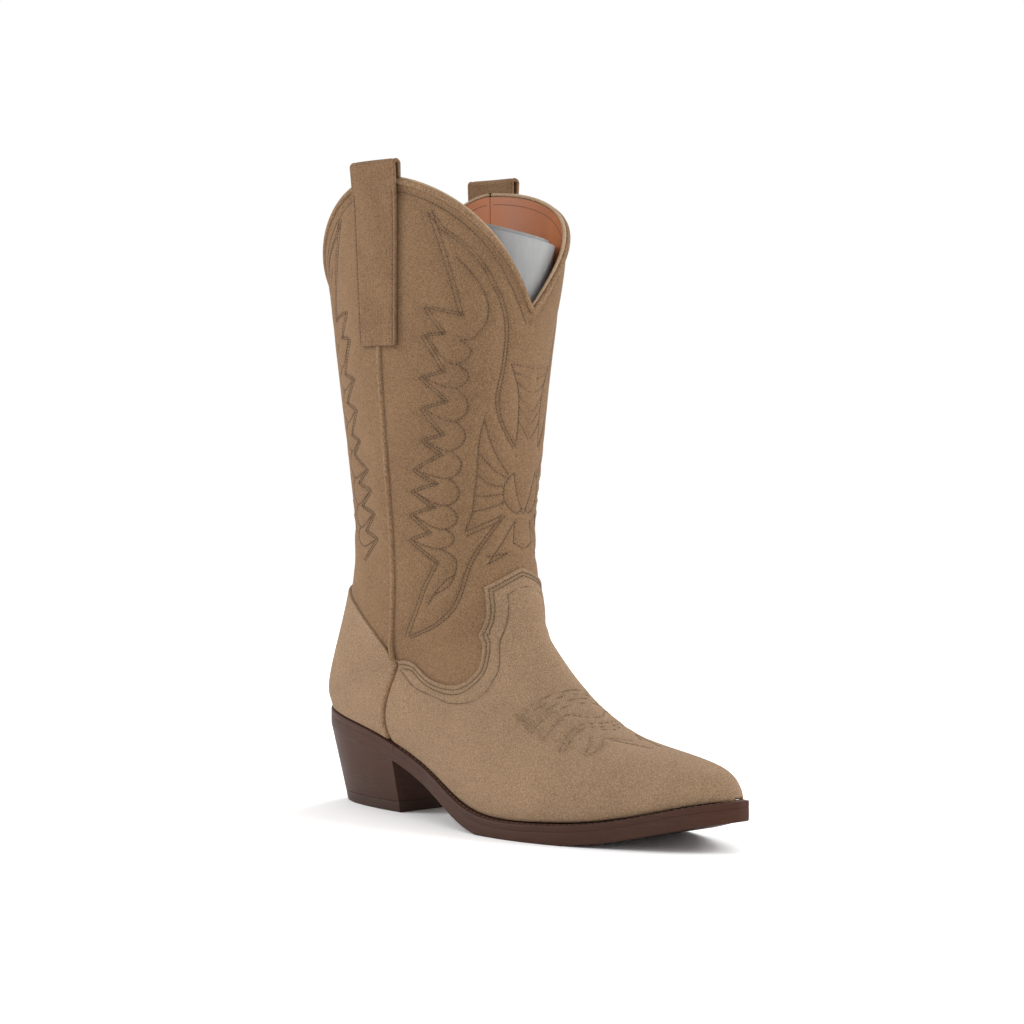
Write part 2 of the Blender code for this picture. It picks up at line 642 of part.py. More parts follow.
def drill(target, holes):
    """Cuts round holes, each (x, ahead, low, high, radius), out of an object."""
    for number, hole in enumerate(holes):
        cutter = cylinder(f"{target.name}_drill_{number}", *hole, None)
        cutter.hide_render = True
        cutter.display_type = "WIRE"
        cut = target.modifiers.new("hole", "BOOLEAN")
        cut.object = cutter
        cut.operation = "DIFFERENCE"
        cut.solver = "EXACT"


def build_heel(looks, outsole):
    """Heel block and top lift, with the screw and the nails that hold them."""
    s = sole_stations(SEAT, HEEL_BREAST, 15)
    levels = []
    for share in np.linspace(0.0, 1.0, 6):
        level = []
        for row, start in zip(heel_level(s, share * 0.86), heel_level(s, 0.0)):
            top = underside(start, s, GAP)[:, 2]
            level.append(at_height(row, top + (TOP_LIFT + GAP - top) * share))
        levels.append(level)
    block = ladder("heel_block", levels, looks["sole"])
    levels = [[at_height(row, z) for row in heel_level(s, share)]
              for share, z in ((0.865, TOP_LIFT), (1.0, 0.0))]
    lift = ladder("heel_top_lift", levels, looks["lift"])

    def board_top(ahead):
        return float(bottom_height(np.array(ahead))) + BOARD_TOP - 0.2
    screw = (0.0, 26.0, 16.0, board_top(26.0), 2.0)
    cylinder("heel_screw", *screw, looks["steel"], 10)
    nails = [(side * reach, ahead, 24.0, board_top(ahead), 1.1)
             for reach, ahead in ((11.0, 15.0), (15.0, 44.0)) for side in (-1, 1)]
    for number, nail in enumerate(nails, 1):
        cylinder(f"heel_nail_{number}", *nail, looks["steel"])
    pegs = [(side * 11.0, ahead, 0.4, 15.0, 0.9) for ahead in (27.0, 56.0) for side in (-1, 1)]
    for number, peg in enumerate(pegs, 1):
        cylinder(f"top_lift_nail_{number}", *peg, looks["steel"])

    def bored(pins, low_reach, high_reach):
        return [(x, ahead, low - low_reach, high + high_reach, radius + GAP)
                for x, ahead, low, high, radius in pins]
    through = bored([screw] + nails, 0.5, 8.0)
    drill(bpy.data.objects["insole_board"], through)
    drill(outsole, through)
    drill(block, through + bored(pegs, 20.0, 0.5))
    drill(lift, bored(pegs, 20.0, 0.5))


# ---------------------------------------------------------------- former

def former_rows(inset):
    """Rows of points down the rolled sheet, inset from its outer face."""
    turns = np.linspace(0.0, FORMER_TURNS, 31)
    angle = math.radians(-60.0) + 2 * math.pi * turns
    grow = 1.0 - FORMER_TIGHTENS * turns / FORMER_TURNS
    rows = []
    for share in np.linspace(0.0, 1.0, 5):
        x = 3.0 - 3.0 * share + ((42.5 - 10.5 * share) * grow - inset) * np.sin(angle)
        ahead = 86.0 - 3.0 * share + ((62.0 - 25.0 * share) * grow - inset) * np.cos(angle)
        top = FORMER_TOP[0] + FORMER_SLANT[0] * x + FORMER_SLANT[1] * (ahead - FORMER_TOP[1]) + 2.0 * turns
        rows.append(np.column_stack([x, MIDDLE_AHEAD - ahead, top + (FORMER_BOTTOM - top) * share]))
    return rows


def build_former(looks):
    """Rolled sheet that stands in the shaft, its free edge overlapping; it lifts out upwards."""
    slide = bpy.data.objects.new("former_slide", None)
    bpy.context.scene.collection.objects.link(slide)
    faces_of_sheet = [former_rows(inset) for inset in (0.0, FORMER_SHEET)]
    rows, cols = len(faces_of_sheet[0]), len(faces_of_sheet[0][0])
    faces = sheet_faces(rows, cols) + sheet_faces(rows, cols, rows * cols, True)
    faces += rim_faces(grid_rim(rows, cols), rows * cols)
    points = np.vstack([row for side in faces_of_sheet for row in side])
    former = add_object("shaft_former", points, faces, looks["sheet"])
    former.parent = slide


def main():
    """Clears the scene and builds every piece."""
    for old in list(bpy.data.objects):
        bpy.data.objects.remove(old, do_unlink=True)
    looks = {
        "suede": material("suede", (0.37, 0.26, 0.16), 0.9),
        "trim": material("trim", (0.33, 0.23, 0.14), 0.85),
        "strap": material("strap", (0.31, 0.22, 0.14), 0.92),
        "lining": material("lining", (0.55, 0.27, 0.12), 0.6),
        "board": material("board", (0.48, 0.38, 0.25), 0.9),
        "cork": material("cork", (0.35, 0.21, 0.11), 0.95),
        "steel": material("steel", (0.55, 0.55, 0.56), 0.35, 1.0),
        "sole": material("sole", (0.10, 0.045, 0.03), 0.65),
        "lift": material("lift", (0.07, 0.035, 0.025), 0.7),
        "sheet": material("sheet", (0.78, 0.79, 0.80), 0.3),
    }
    build_shaft(looks)
    build_foot_covers(looks)
    build_linings(looks)
    build_trims(looks)
    build_straps(looks)
    build_inner_bottom(looks)
    build_sole(looks)
    build_former(looks)


main()
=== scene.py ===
"""Right western boot: quilted suede shaft with pull straps, tongued vamp, welted sole, underslung heel.

Lengths are in millimetres until a mesh is made. Along the foot, "ahead" is the distance in front of
the heel's back; the toe points towards -Y and the outer side of the foot towards -X.
"""
import json
import math

import bpy
import bmesh
import numpy as np
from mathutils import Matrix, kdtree

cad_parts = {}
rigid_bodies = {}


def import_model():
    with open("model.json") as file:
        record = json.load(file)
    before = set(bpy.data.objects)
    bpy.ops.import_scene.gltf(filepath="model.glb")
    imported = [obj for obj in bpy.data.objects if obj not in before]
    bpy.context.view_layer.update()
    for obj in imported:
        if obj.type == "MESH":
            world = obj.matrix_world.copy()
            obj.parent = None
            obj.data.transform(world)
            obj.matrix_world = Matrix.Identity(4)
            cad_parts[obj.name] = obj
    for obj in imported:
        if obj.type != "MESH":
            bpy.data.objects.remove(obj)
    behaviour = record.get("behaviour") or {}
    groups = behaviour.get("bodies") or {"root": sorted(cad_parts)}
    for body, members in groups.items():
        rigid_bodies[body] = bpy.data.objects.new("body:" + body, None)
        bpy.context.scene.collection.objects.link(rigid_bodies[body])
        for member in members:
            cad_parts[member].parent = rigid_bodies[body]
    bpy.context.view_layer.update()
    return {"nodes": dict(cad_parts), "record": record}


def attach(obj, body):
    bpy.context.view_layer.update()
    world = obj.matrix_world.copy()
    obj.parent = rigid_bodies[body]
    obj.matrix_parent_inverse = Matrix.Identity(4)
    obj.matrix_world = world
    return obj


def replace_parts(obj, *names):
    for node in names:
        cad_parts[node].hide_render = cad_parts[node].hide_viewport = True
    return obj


for leftover in list(bpy.data.objects):
    bpy.data.objects.remove(leftover, do_unlink=True)
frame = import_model()
MM = 0.001

# ---------------------------------------------------------------- studio
# Near-white flat floor, three large soft boxes — one behind the boot's outer side, one off the toe on the
# inner side and a weaker one behind the inner side — and an even white surrounding. The lens is a portrait
# lens at eye level.
EYE = (-0.8600, -0.94245, 0.1905)
EYE_HEADING = -42.2
EYE_PITCH = 88.62
LENS = 87.64
lens = bpy.data.cameras.new("portrait_lens")
lens.lens = LENS
lens.clip_end = 20.0
camera = bpy.data.objects.new("camera", lens)
camera.location = EYE
camera.rotation_euler = (math.radians(EYE_PITCH), 0.0, math.radians(EYE_HEADING))
bpy.context.scene.collection.objects.link(camera)
bpy.context.scene.camera = camera

PAPER_WHITE = 0.98
SWEEP_HALF = 3.0
paper = bpy.data.materials.new("studio_paper")
paper.use_nodes = True
paper.node_tree.nodes["Principled BSDF"].inputs["Base Color"].default_value = (PAPER_WHITE,) * 3 + (1.0,)
paper.node_tree.nodes["Principled BSDF"].inputs["Roughness"].default_value = 0.9
sweep = bpy.data.meshes.new("studio_floor")
sweep.from_pydata([(x * SWEEP_HALF, y * SWEEP_HALF, 0.0) for x, y in ((-1, -1), (1, -1), (1, 1), (-1, 1))],
                  [], [(0, 1, 2, 3)])
sweep.materials.append(paper)
floor = bpy.data.objects.new("studio_floor", sweep)
bpy.context.scene.collection.objects.link(floor)


def soft_box(name, place, aim, size, power):
    """Square area light that faces a point."""
    light = bpy.data.lights.new(name, "AREA")
    light.size = size
    light.energy = power
    stand = bpy.data.objects.new(name, light)
    stand.location = place
    towards = np.array(aim) - np.array(place)
    across = math.atan2(towards[0], -towards[1])
    tilt = math.atan2(math.hypot(towards[0], towards[1]), -towards[2])
    stand.rotation_euler = (tilt, 0.0, across + math.pi)
    bpy.context.scene.collection.objects.link(stand)


soft_box("soft_box_side", (-1.45, 1.25, 0.95), (0.0, 0.0, 0.15), 0.8, 22.0)
soft_box("soft_box_toe", (1.0, -1.45, 1.35), (0.0, -0.05, 0.12), 0.8, 22.0)
soft_box("soft_box_behind", (1.4, 0.7, 1.1), (0.0, 0.0, 0.2), 0.8, 14.0)
sky = bpy.data.worlds.new("white_room")
sky.use_nodes = True
sky.node_tree.nodes["Background"].inputs["Color"].default_value = (1.0, 1.0, 1.0, 1.0)
sky.node_tree.nodes["Background"].inputs["Strength"].default_value = 1.0
bpy.context.scene.world = sky
bpy.context.scene.view_settings.view_transform = "Standard"

# ---------------------------------------------------------------- shaft front
# Front half of the shaft: one piece of tan suede, quilted on a soft backing with a tone-on-tone
# western motif, closed to the back half in two piped side seams. It is pulled over a last.
MIDDLE_AHEAD = 138.05
STATIONS = {
    # front (ahead, z), end (ahead, z), half widths (outer, inner), the same at the end, middle's x
    "rim":     (160.0, 350.0,  -5.0, 350.0, 54.0, 54.0,  0.0,  0.0,  0.0),
    "calf":    (156.0, 300.0,   1.0, 300.0, 53.0, 53.0,  0.0,  0.0,  0.0),
    "shin":    (143.5, 240.0,  13.0, 240.0, 50.0, 50.0,  0.0,  0.0,  0.0),
    "cuff":    (137.5, 190.0,  21.0, 185.0, 46.0, 46.0,  0.0,  0.0,  0.0),
    "ankle":   (134.5, 155.0,  24.0, 137.0, 42.0, 42.0,  0.0,  0.0,  0.0),
    "throat":  (139.0, 128.0,  13.0, 102.0, 39.0, 39.0,  0.0,  0.0,  0.0),
    "collar":  (145.0, 112.0,  -3.5,  66.0, 36.5, 36.5,  0.0,  0.0,  0.0),
    "seat":    (147.0, 104.0,  -4.8,  53.0, 34.5, 34.5,  0.0,  0.0,  0.0),
    "rand":    (149.0, 100.0,   1.0,  51.9, 34.0, 34.0, 12.0, 12.0,  0.0),
    "heel":    (151.0,  96.0,  17.0,  49.8, 33.5, 33.5, 21.5, 21.5,  0.0),
    "quarter": (155.5,  91.0,  37.5,  46.8, 33.0, 33.0, 27.0, 27.0,  0.0),
    "breast":  (161.0,  85.0,  64.5,  41.5, 33.0, 33.0, 30.0, 28.5,  0.0),
    "waist":   (170.0,  75.0, 105.0,  28.0, 36.5, 34.0, 32.5, 28.0,  0.0),
    "joint":   (186.0,  62.0, 147.5,  12.0, 41.5, 37.5, 40.0, 34.0,  1.0),
    "ball":    (208.0,  50.5, 190.0,  10.0, 41.5, 37.0, 40.5, 36.0,  4.0),
    "box":     (236.0,  44.0, 223.0,  13.0, 34.0, 31.5, 33.0, 30.0,  8.0),
    "toe":     (260.0,  39.0, 249.5,  19.0, 23.5, 22.0, 22.5, 20.5, 10.0),
    "nose":    (271.0,  33.0, 267.0,  23.5, 13.5, 12.0, 13.0, 11.5, 11.0),
    "tip":     (278.0,  25.5, 278.0,  25.5,  2.0,  2.0,  1.0,  1.0, 12.0),
}
SEAT = 7
TIP = len(STATIONS) - 1
SEAM_OUTER = 0.465
SEAM_INNER = 0.575
SEAM_TURNS = 6.8
SEAM_ENDS = 11.2
SIDE_HEIGHT = 330.0
DIP_HEIGHT = 263.0
BACK_DIP_HEIGHT = 264.0
SHAFT_LAYER = (-1.5, 0.0)
PANEL_DROP = 1.9             # how far the panels stop below the top binding's middle
QUILT_DEPTH = 0.85           # how far the stitches pull the suede in
QUILT_REACH = 3.6
GROOVE_DEPTH = 0.25
GROOVE_HALF = 0.7
STITCH_PITCH = 1.8
SEAM_GAP = 0.65              # how far a panel stops short of a side seam, in hundredths of the leg


def spline(values, first=0, last=None, level_start=False):
    """Cubic through one value per station, from first to last, with free or level start."""
    y = np.array(values[first:last], float)
    n = len(y)
    system = np.eye(n)
    right = np.zeros(n)
    if level_start:
        system[0, :2] = 2.0, 1.0
        right[0] = 6.0 * (y[1] - y[0])
    for i in range(1, n - 1):
        system[i, i - 1:i + 2] = 1.0, 4.0, 1.0
        right[i] = 6.0 * (y[i + 1] - 2.0 * y[i] + y[i - 1])
    bend = np.linalg.solve(system, right)

    def curve(s):
        u = np.asarray(s, float) - first
        k = np.clip(np.floor(u).astype(int), 0, n - 2)
        t = u - k
        slope = y[k + 1] - y[k] - (2.0 * bend[k] + bend[k + 1]) / 6.0
        return y[k] + t * (slope + t * (bend[k] / 2.0 + t * (bend[k + 1] - bend[k]) / 6.0))
    return curve


def bent_line(values):
    """Back line down to the seat, then the sole's edge, which starts square to it."""
    leg = spline(values, 0, SEAT + 1)
    sole = spline(values, SEAT, None, True)
    return lambda s: np.where(np.asarray(s) < SEAT, leg(s), sole(np.maximum(s, SEAT)))


LAST_COLUMNS = list(zip(*STATIONS.values()))
FRONT_AHEAD, FRONT_Z, HALF_OUTER, HALF_INNER, MIDDLE_X = (spline(LAST_COLUMNS[k]) for k in (0, 1, 4, 5, 8))
END_AHEAD, END_Z = bent_line(LAST_COLUMNS[2]), bent_line(LAST_COLUMNS[3])
EDGE_OUTER, EDGE_INNER = (spline(c, SEAT) for c in LAST_COLUMNS[6:8])


def form(s, t):
    """Point of the last: s counts stations, t runs from -1 (outer end) over the ridge at 0 to 1."""
    s, t = np.broadcast_arrays(np.asarray(s, float), np.asarray(t, float))
    half = np.where(t < 0, HALF_OUTER(s), HALF_INNER(s))
    edge = np.where(t < 0, EDGE_OUTER(np.maximum(s, SEAT)), EDGE_INNER(np.maximum(s, SEAT)))
    edge = np.where(s <= SEAT, 0.0, np.clip(edge, 0.0, 0.999 * half))
    end_angle = math.pi - np.arcsin(edge / half)
    angle = np.abs(t) * end_angle
    share = (1.0 - np.cos(angle)) / (1.0 - np.cos(end_angle))
    x = MIDDLE_X(s) + half * np.sin(angle) * np.sign(t)
    ahead = FRONT_AHEAD(s) + (END_AHEAD(s) - FRONT_AHEAD(s)) * share
    z = FRONT_Z(s) + (END_Z(s) - FRONT_Z(s)) * share
    return np.stack([x, MIDDLE_AHEAD - ahead, z], -1)


def skin(s, t, offset):
    """Point at a distance outside the last."""
    s, t = np.broadcast_arrays(np.asarray(s, float), np.asarray(t, float))
    step = 0.004
    down = form(np.minimum(s + step, TIP), t) - form(s - step, t)
    across = form(s, np.minimum(t + step, 1.0)) - form(s, np.maximum(t - step, -1.0))
    normal = np.cross(down, across)
    above_sole = np.where(s < SEAT, 1.0, np.clip((1.0 - np.abs(t)) / 0.12, 0.0, 1.0))
    normal[..., 2] *= above_sole
    normal /= np.maximum(np.linalg.norm(normal, axis=-1, keepdims=True), 1e-9)
    return form(s, t) + normal * np.asarray(offset, float)[..., None]


def leg_station(z):
    """Station of a level ring of the leg at height z."""
    stations = np.linspace(-0.4, 2.0, 200)
    return np.interp(-np.asarray(z, float), -FRONT_Z(stations), stations)


def station_at(t, z):
    """Station where the line at share t passes height z."""
    s = np.interp(-np.asarray(z, float), -FRONT_Z(np.linspace(-0.4, 7.0, 300)), np.linspace(-0.4, 7.0, 300))
    for _ in range(8):
        height = form(s, t)[..., 2]
        fall = (form(s + 0.02, t)[..., 2] - height) / 0.02
        s = np.clip(s + np.clip((z - height) / np.minimum(fall, -4.0), -1.0, 1.0), -0.4, 12.0)
    return s


def seam_share(s, side, shift=0.0):
    """Where a side seam lies, as t, at station s; shift moves it towards the back."""
    start = SEAM_OUTER if side < 0 else SEAM_INNER
    run = np.clip((s + 0.07 * shift - SEAM_TURNS) / (SEAM_ENDS - SEAM_TURNS), 0.0, 1.0) ** 1.6
    return start + (1.0 - start) * run + 0.0085 * shift * (1.0 - run)


def top_height(t):
    """Height of the scalloped top line: high at the side seams, dipped at front and back."""
    t = np.asarray(t, float)
    seam = np.where(t < 0, SEAM_OUTER, SEAM_INNER)
    ahead = np.sqrt(t * t + 0.015 ** 2) - 0.015
    front = np.clip(ahead / seam, 0.0, 1.0)
    back = np.clip((1.0 - np.abs(t)) / (1.0 - seam), 0.0, 1.0)
    front_z = DIP_HEIGHT + (SIDE_HEIGHT - DIP_HEIGHT) * np.sin(math.pi / 2 * front ** 0.9)
    back_z = BACK_DIP_HEIGHT + (SIDE_HEIGHT - BACK_DIP_HEIGHT) * np.sin(math.pi / 2 * back ** 1.5)
    return np.where(np.abs(t) < seam, front_z, back_z)


def top_station(t, drop=PANEL_DROP):
    """Station of a line a drop below the binding's middle, square to its slope."""
    step = 0.004
    z = top_height(t)
    rise = top_height(t + step) - top_height(t - step)
    run = np.linalg.norm(form(0.7, t + step) - form(0.7, t - step), axis=-1)
    return leg_station(z - drop * np.sqrt(1.0 + (rise / run) ** 2))


class Wire:
    """A number from a shader node, for use in sums."""

    def __init__(self, look, socket):
        self.look = look
        self.socket = socket

    def math(self, operation, first, second):
        return self.look.node("ShaderNodeMath", {"operation": operation}, {0: first, 1: second})

    def __add__(self, other):
        return self.math("ADD", self, other)

    def __sub__(self, other):
        return self.math("SUBTRACT", self, other)

    def __rsub__(self, other):
        return self.math("SUBTRACT", other, self)

    def __mul__(self, other):
        return self.math("MULTIPLY", self, other)

    __radd__ = __add__
    __rmul__ = __mul__


class Look:
    """A node material being put together."""

    def __init__(self, name, roughness, **constants):
        self.made = bpy.data.materials.new(name)
        self.made.use_nodes = True
        self.tree = self.made.node_tree
        self.shader = self.tree.nodes["Principled BSDF"]
        self.shader.inputs["Roughness"].default_value = roughness
        for socket, value in constants.items():
            self.shader.inputs[socket.replace("_", " ")].default_value = value

    def node(self, kind, settings=None, sockets=None, out=0):
        """Adds a node, sets what it has, then feeds its sockets with values or wires."""
        made = self.tree.nodes.new(kind)
        for name, value in (settings or {}).items():
            if name == "stops":
                ramp = made.color_ramp.elements
                ramp[0].position, ramp[0].color = value[0]
                ramp[1].position, ramp[1].color = value[-1]
                for place, colour in value[1:-1]:
                    ramp.new(place).color = colour
            else:
                setattr(made, name, value)
        for name, value in (sockets or {}).items():
            self.feed(made.inputs[name], value)
        return Wire(self, made.outputs[out])

    def feed(self, socket, value):
        """Links a wire to a socket, or sets it."""
        if isinstance(value, Wire):
            self.tree.links.new(value.socket, socket)
        else:
            socket.default_value = value

    def place(self, stretch=(1.0, 1.0, 1.0)):
        """Coordinates of the piece, stretched."""
        coordinates = self.node("ShaderNodeTexCoord", out="Object")
        return self.node("ShaderNodeMapping", {}, {"Vector": coordinates, "Scale": stretch})

    def noise(self, place, scale, detail=2.0, rough=0.5):
        """Soft random numbers of about 0 to 1."""
        return self.node("ShaderNodeTexNoise", {}, {"Vector": place, "Scale": scale, "Detail": detail,
                                                    "Roughness": rough})

    def band(self, wire, low, high, first=0.0, last=1.0):
        """The wire's low to high turned into first to last, held there outside."""
        return self.node("ShaderNodeMapRange", {}, {"Value": wire, "From Min": low, "From Max": high,
                                                    "To Min": first, "To Max": last})

    def tint(self, factor, first, second, blend="MIX"):
        """Two colours mixed."""
        return self.node("ShaderNodeMix", {"data_type": "RGBA", "blend_type": blend},
                         {0: factor, 6: first, 7: second}, out=2)

    def finish(self, colour=None, roughness=None, height=None, strength=0.3, depth=0.3):
        """Feeds the shader; height becomes its bump, depth millimetres from low to high."""
        if colour is not None:
            self.feed(self.shader.inputs["Base Color"], colour)
        if roughness is not None:
            self.feed(self.shader.inputs["Roughness"], roughness)
        if height is not None:
            bump = self.node("ShaderNodeBump", {}, {"Strength": strength, "Distance": depth * MM,
                                                    "Height": height})
            self.feed(self.shader.inputs["Normal"], bump)
        return self.made


def rgb(*channels):
    """Colour with full alpha."""
    return (*channels, 1.0)


def suede_look(name, light, dark, grain=1500.0):
    """Napped leather: soft pebbled grain, cloudy nap, and painted shade darkening the grooves along the
    stitch lines.
    """
    look = Look(name, 0.95, Sheen_Weight=0.03, Sheen_Roughness=0.6, Specular_IOR_Level=0.1)
    place = look.place()
    pebble = look.noise(place, grain, 3.0, 0.6)
    fuzz = look.noise(place, grain * 2.4, 2.0, 0.6)
    cloud = look.noise(place, 38.0, 3.0, 0.55)
    press = look.node("ShaderNodeAttribute", {"attribute_name": "press"}, out="Fac")
    tone = look.band(pebble, 0.38, 0.62) * 0.6 + look.band(fuzz, 0.35, 0.65) * 0.25
    tone = tone + look.band(cloud, 0.3, 0.7) * 0.15
    napped = look.tint(tone, rgb(*dark), rgb(*light))
    # Painted shade: the attribute read above darkens the colour towards half the dark tone in the stitch
    # grooves, where shade falls.
    shade = look.tint(press * 0.2, napped, rgb(*(0.5 * c for c in dark)))
    height = look.band(pebble, 0.3, 0.7) * 0.7 + look.band(fuzz, 0.3, 0.7) * 0.3
    return look.finish(shade, None, height, 0.8, 0.4)


# The shaft's copy of the suede, kept darker than the vamp's copy; the difference between the two copies is
# painted light and shade.
SUEDE = suede_look("tan_suede", (0.290, 0.173, 0.094), (0.112, 0.065, 0.034))


def thread_look(name, colour):
    """Waxed sewing thread, its strands wound round it."""
    look = Look(name, 0.7)
    strands = look.noise(look.place(), 2600.0, 1.0)
    twisted = look.tint(strands, rgb(*(0.7 * c for c in colour)), rgb(*colour))
    return look.finish(twisted, None, strands, 0.4, 0.1)


THREAD = thread_look("tan_thread", (0.150, 0.088, 0.047))
# Painted shade: near-black beads sunk between the threads stand for the shadow in each needle hole.
NEEDLE_HOLE_SHADE = Look("needle_hole_painted_shade", 1.0, Base_Color=rgb(0.030, 0.015, 0.007)).made


def piece(name, points, faces, looks, body="boot", smooth_angle=40.0, press=None):
    """Closed mesh from points in millimetres, its faces turned outwards, riding on a body."""
    points = np.asarray(points, float)
    faces = np.asarray(faces, int)
    mesh = bpy.data.meshes.new(name)
    corners = points[faces]
    volume = np.einsum("ij,ij->i", corners[:, 0], np.cross(corners[:, 1], corners[:, 2])).sum()
    volume += np.einsum("ij,ij->i", corners[:, 0], np.cross(corners[:, 2], corners[:, 3])).sum()
    if volume < 0:
        faces = faces[:, ::-1]
    mesh.from_pydata((points * MM).tolist(), [], faces.tolist())
    mesh.materials.append(looks)
    # This attribute carries painted shade for the stitch grooves; the suede's colour reads it.
    if press is not None:
        groove_shade_layer = mesh.attributes.new("press", "FLOAT", "POINT")
        groove_shade_layer.data.foreach_set("value", press.astype(np.float32).ravel())
    mesh.shade_smooth()
    mesh.set_sharp_from_angle(angle=math.radians(smooth_angle))
    made = bpy.data.objects.new(name, mesh)
    bpy.context.scene.collection.objects.link(made)
    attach(made, body)
    return made


def grid_quads(rows, cols, first=0):
    """Quads of a grid of points stored row by row."""
    corner = first + (np.arange(rows - 1)[:, None] * cols + np.arange(cols - 1)).ravel()
    return np.column_stack([corner, corner + 1, corner + cols + 1, corner + cols])


def grid_rim(rows, cols):
    """Point numbers round the edge of a grid."""
    numbers = np.arange(rows * cols).reshape(rows, cols)
    return np.concatenate([numbers[0], numbers[1:, -1], numbers[-1, -2::-1], numbers[-2:0:-1, 0]])


def shell_faces(rows, cols):
    """Quads of an inner grid, an outer grid stored after it, and the wall round both."""
    count = rows * cols
    rim = grid_rim(rows, cols)
    back = np.roll(rim, 1)
    wall = np.column_stack([rim, back, back + count, rim + count])
    return np.vstack([grid_quads(rows, cols), grid_quads(rows, cols, count)[:, ::-1], wall])


def edge_distance(points):
    """Distance from a grid's nearest edge along its rows and columns, for each point."""
    down = np.linalg.norm(np.diff(points, axis=0), axis=2)
    down = np.vstack([np.zeros(points.shape[1]), np.cumsum(down, axis=0)])
    over = np.linalg.norm(np.diff(points, axis=1), axis=2)
    over = np.hstack([np.zeros((points.shape[0], 1)), np.cumsum(over, axis=1)])
    return np.minimum(np.minimum(down, down[-1] - down), np.minimum(over, over[:, -1:] - over))


def near_lines(points, lines):
    """Distance of each point from the nearest of several runs of closely spaced points."""
    spots = np.vstack(lines)
    tree = kdtree.KDTree(len(spots))
    for number, spot in enumerate(spots):
        tree.insert(spot, number)
    tree.balance()
    flat = points.reshape(-1, 3)
    return np.array([tree.find(p)[2] for p in flat]).reshape(points.shape[:-1])


def leather_panel(name, s, t, layer, node, lines=(), edge_round=0.6, looks=None, slot="suede"):
    """Leather panel over the last: quilted along its stitch lines, its cut edges rounded off."""
    rows, cols = s.shape
    base = form(s, t)
    outside = np.full(s.shape, float(layer[1]))
    press = np.zeros(s.shape)
    if lines:
        away = near_lines(base, lines)
        pulled = np.exp(-(away / QUILT_REACH) ** 2)
        groove = np.exp(-(away / GROOVE_HALF) ** 2)
        outside -= QUILT_DEPTH * pulled + GROOVE_DEPTH * groove
        # The groove mask also goes into the colour as painted shade in the grooves.
        press = groove
    if edge_round:
        over = 1.0 - np.clip(edge_distance(base) / edge_round, 0.0, 1.0)
        outside -= edge_round * (1.0 - np.sqrt(1.0 - over ** 2))
    inside = np.minimum(np.full(s.shape, float(layer[0])), outside - 0.2)
    points = np.vstack([skin(s, t, inside).reshape(-1, 3), skin(s, t, outside).reshape(-1, 3)])
    made = piece(name, points, shell_faces(rows, cols), looks or SUEDE,
                 press=np.concatenate([np.zeros(press.size), press.ravel()]))
    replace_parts(made, node)
    return made


def curved(points, per=10):
    """Smooth run through a few points."""
    points = np.asarray(points, float)
    through = [spline(column) for column in points.T]
    u = np.linspace(0.0, len(points) - 1.0, per * (len(points) - 1) + 1)
    return np.column_stack([c(u) for c in through])


def straight(points, per=10):
    """Run of straight stretches between points."""
    points = np.asarray(points, float)
    u = np.linspace(0.0, len(points) - 1.0, per * (len(points) - 1) + 1)
    return np.column_stack([np.interp(u, np.arange(len(points)), c) for c in points.T])


def beside(run, gap):
    """The same run moved sideways by gap, in a plane where both coordinates are lengths."""
    step = np.gradient(run, axis=0)
    step /= np.maximum(np.linalg.norm(step, axis=1, keepdims=True), 1e-9)
    return run + gap * np.column_stack([-step[:, 1], step[:, 0]])


# The motif, on one half of a panel: (across from the panel's middle, height). Across is in
# hundredths of the half turn round the leg, near enough 1.9 mm each.
FLAME = [(37.5, 312), (27.5, 259), (37.5, 263), (32, 250), (38, 249), (31.5, 231), (38.5, 228),
         (30.5, 216), (38.3, 212), (32, 199), (38.5, 196), (32.7, 189), (41.7, 181), (34.2, 174),
         (42.7, 170), (35.3, 162), (43.7, 158), (37.3, 149), (44.5, 145), (35.7, 134)]
BIG_SCALLOP = [(30.5, 288), (25.3, 278), (21.2, 267), (20.5, 258), (21.7, 253), (24.3, 248), (28, 247)]
CUSPS = [(28, 247), (29, 235), (28.7, 223), (28.7, 206), (30.2, 191), (31, 177), (31.7, 163),
         (32.7, 151), (34.7, 141)]
SCALLOP_BULGE = 3.7
PETAL_TIPS = [(38, 249), (38.5, 228), (38.3, 212), (38.5, 196), (41.7, 181), (42.7, 170), (43.7, 158),
              (44.5, 145)]
HOOK = [(34.7, 141), (30.2, 136), (30.2, 131), (31, 128), (33.5, 122), (38.3, 117), (40.5, 112)]
BUD = [(31, 128), (36, 122), (40.5, 112)]
LEAF_EDGE = [(35.7, 134), (40, 123), (42.5, 114), (47, 95)]
STEM = [(47, 95), (39.3, 102), (33.5, 111), (30.2, 120), (27.5, 129), (24.3, 137), (19.2, 146), (11.3, 158)]
SWEEP = [(37.5, 312), (34.8, 304.5), (32.7, 301), (26, 291), (20.7, 279), (16.7, 268), (14, 257),
         (13, 246), (13.3, 231), (14.5, 218), (13, 207), (10, 199), (7, 193)]
LONG_LEAF = [(7, 193), (6.3, 202), (6.4, 213), (7.2, 222), (8.8, 228), (11, 235)]
FEATHERS = [[(11, 235), (1.2, 233)], [(10, 231), (1.4, 228)], [(8.6, 227), (5, 223), (1, 221)],
            [(6.4, 219), (3.6, 215), (0.8, 211)], [(6.1, 213), (3.4, 209), (0.6, 205)],
            [(6.1, 206), (3.2, 201), (0.6, 197)]]
FAN_EDGE = [(19.2, 207), (20.8, 196), (21.2, 184), (21.7, 174), (22.7, 161), (23.7, 156), (25.7, 150)]
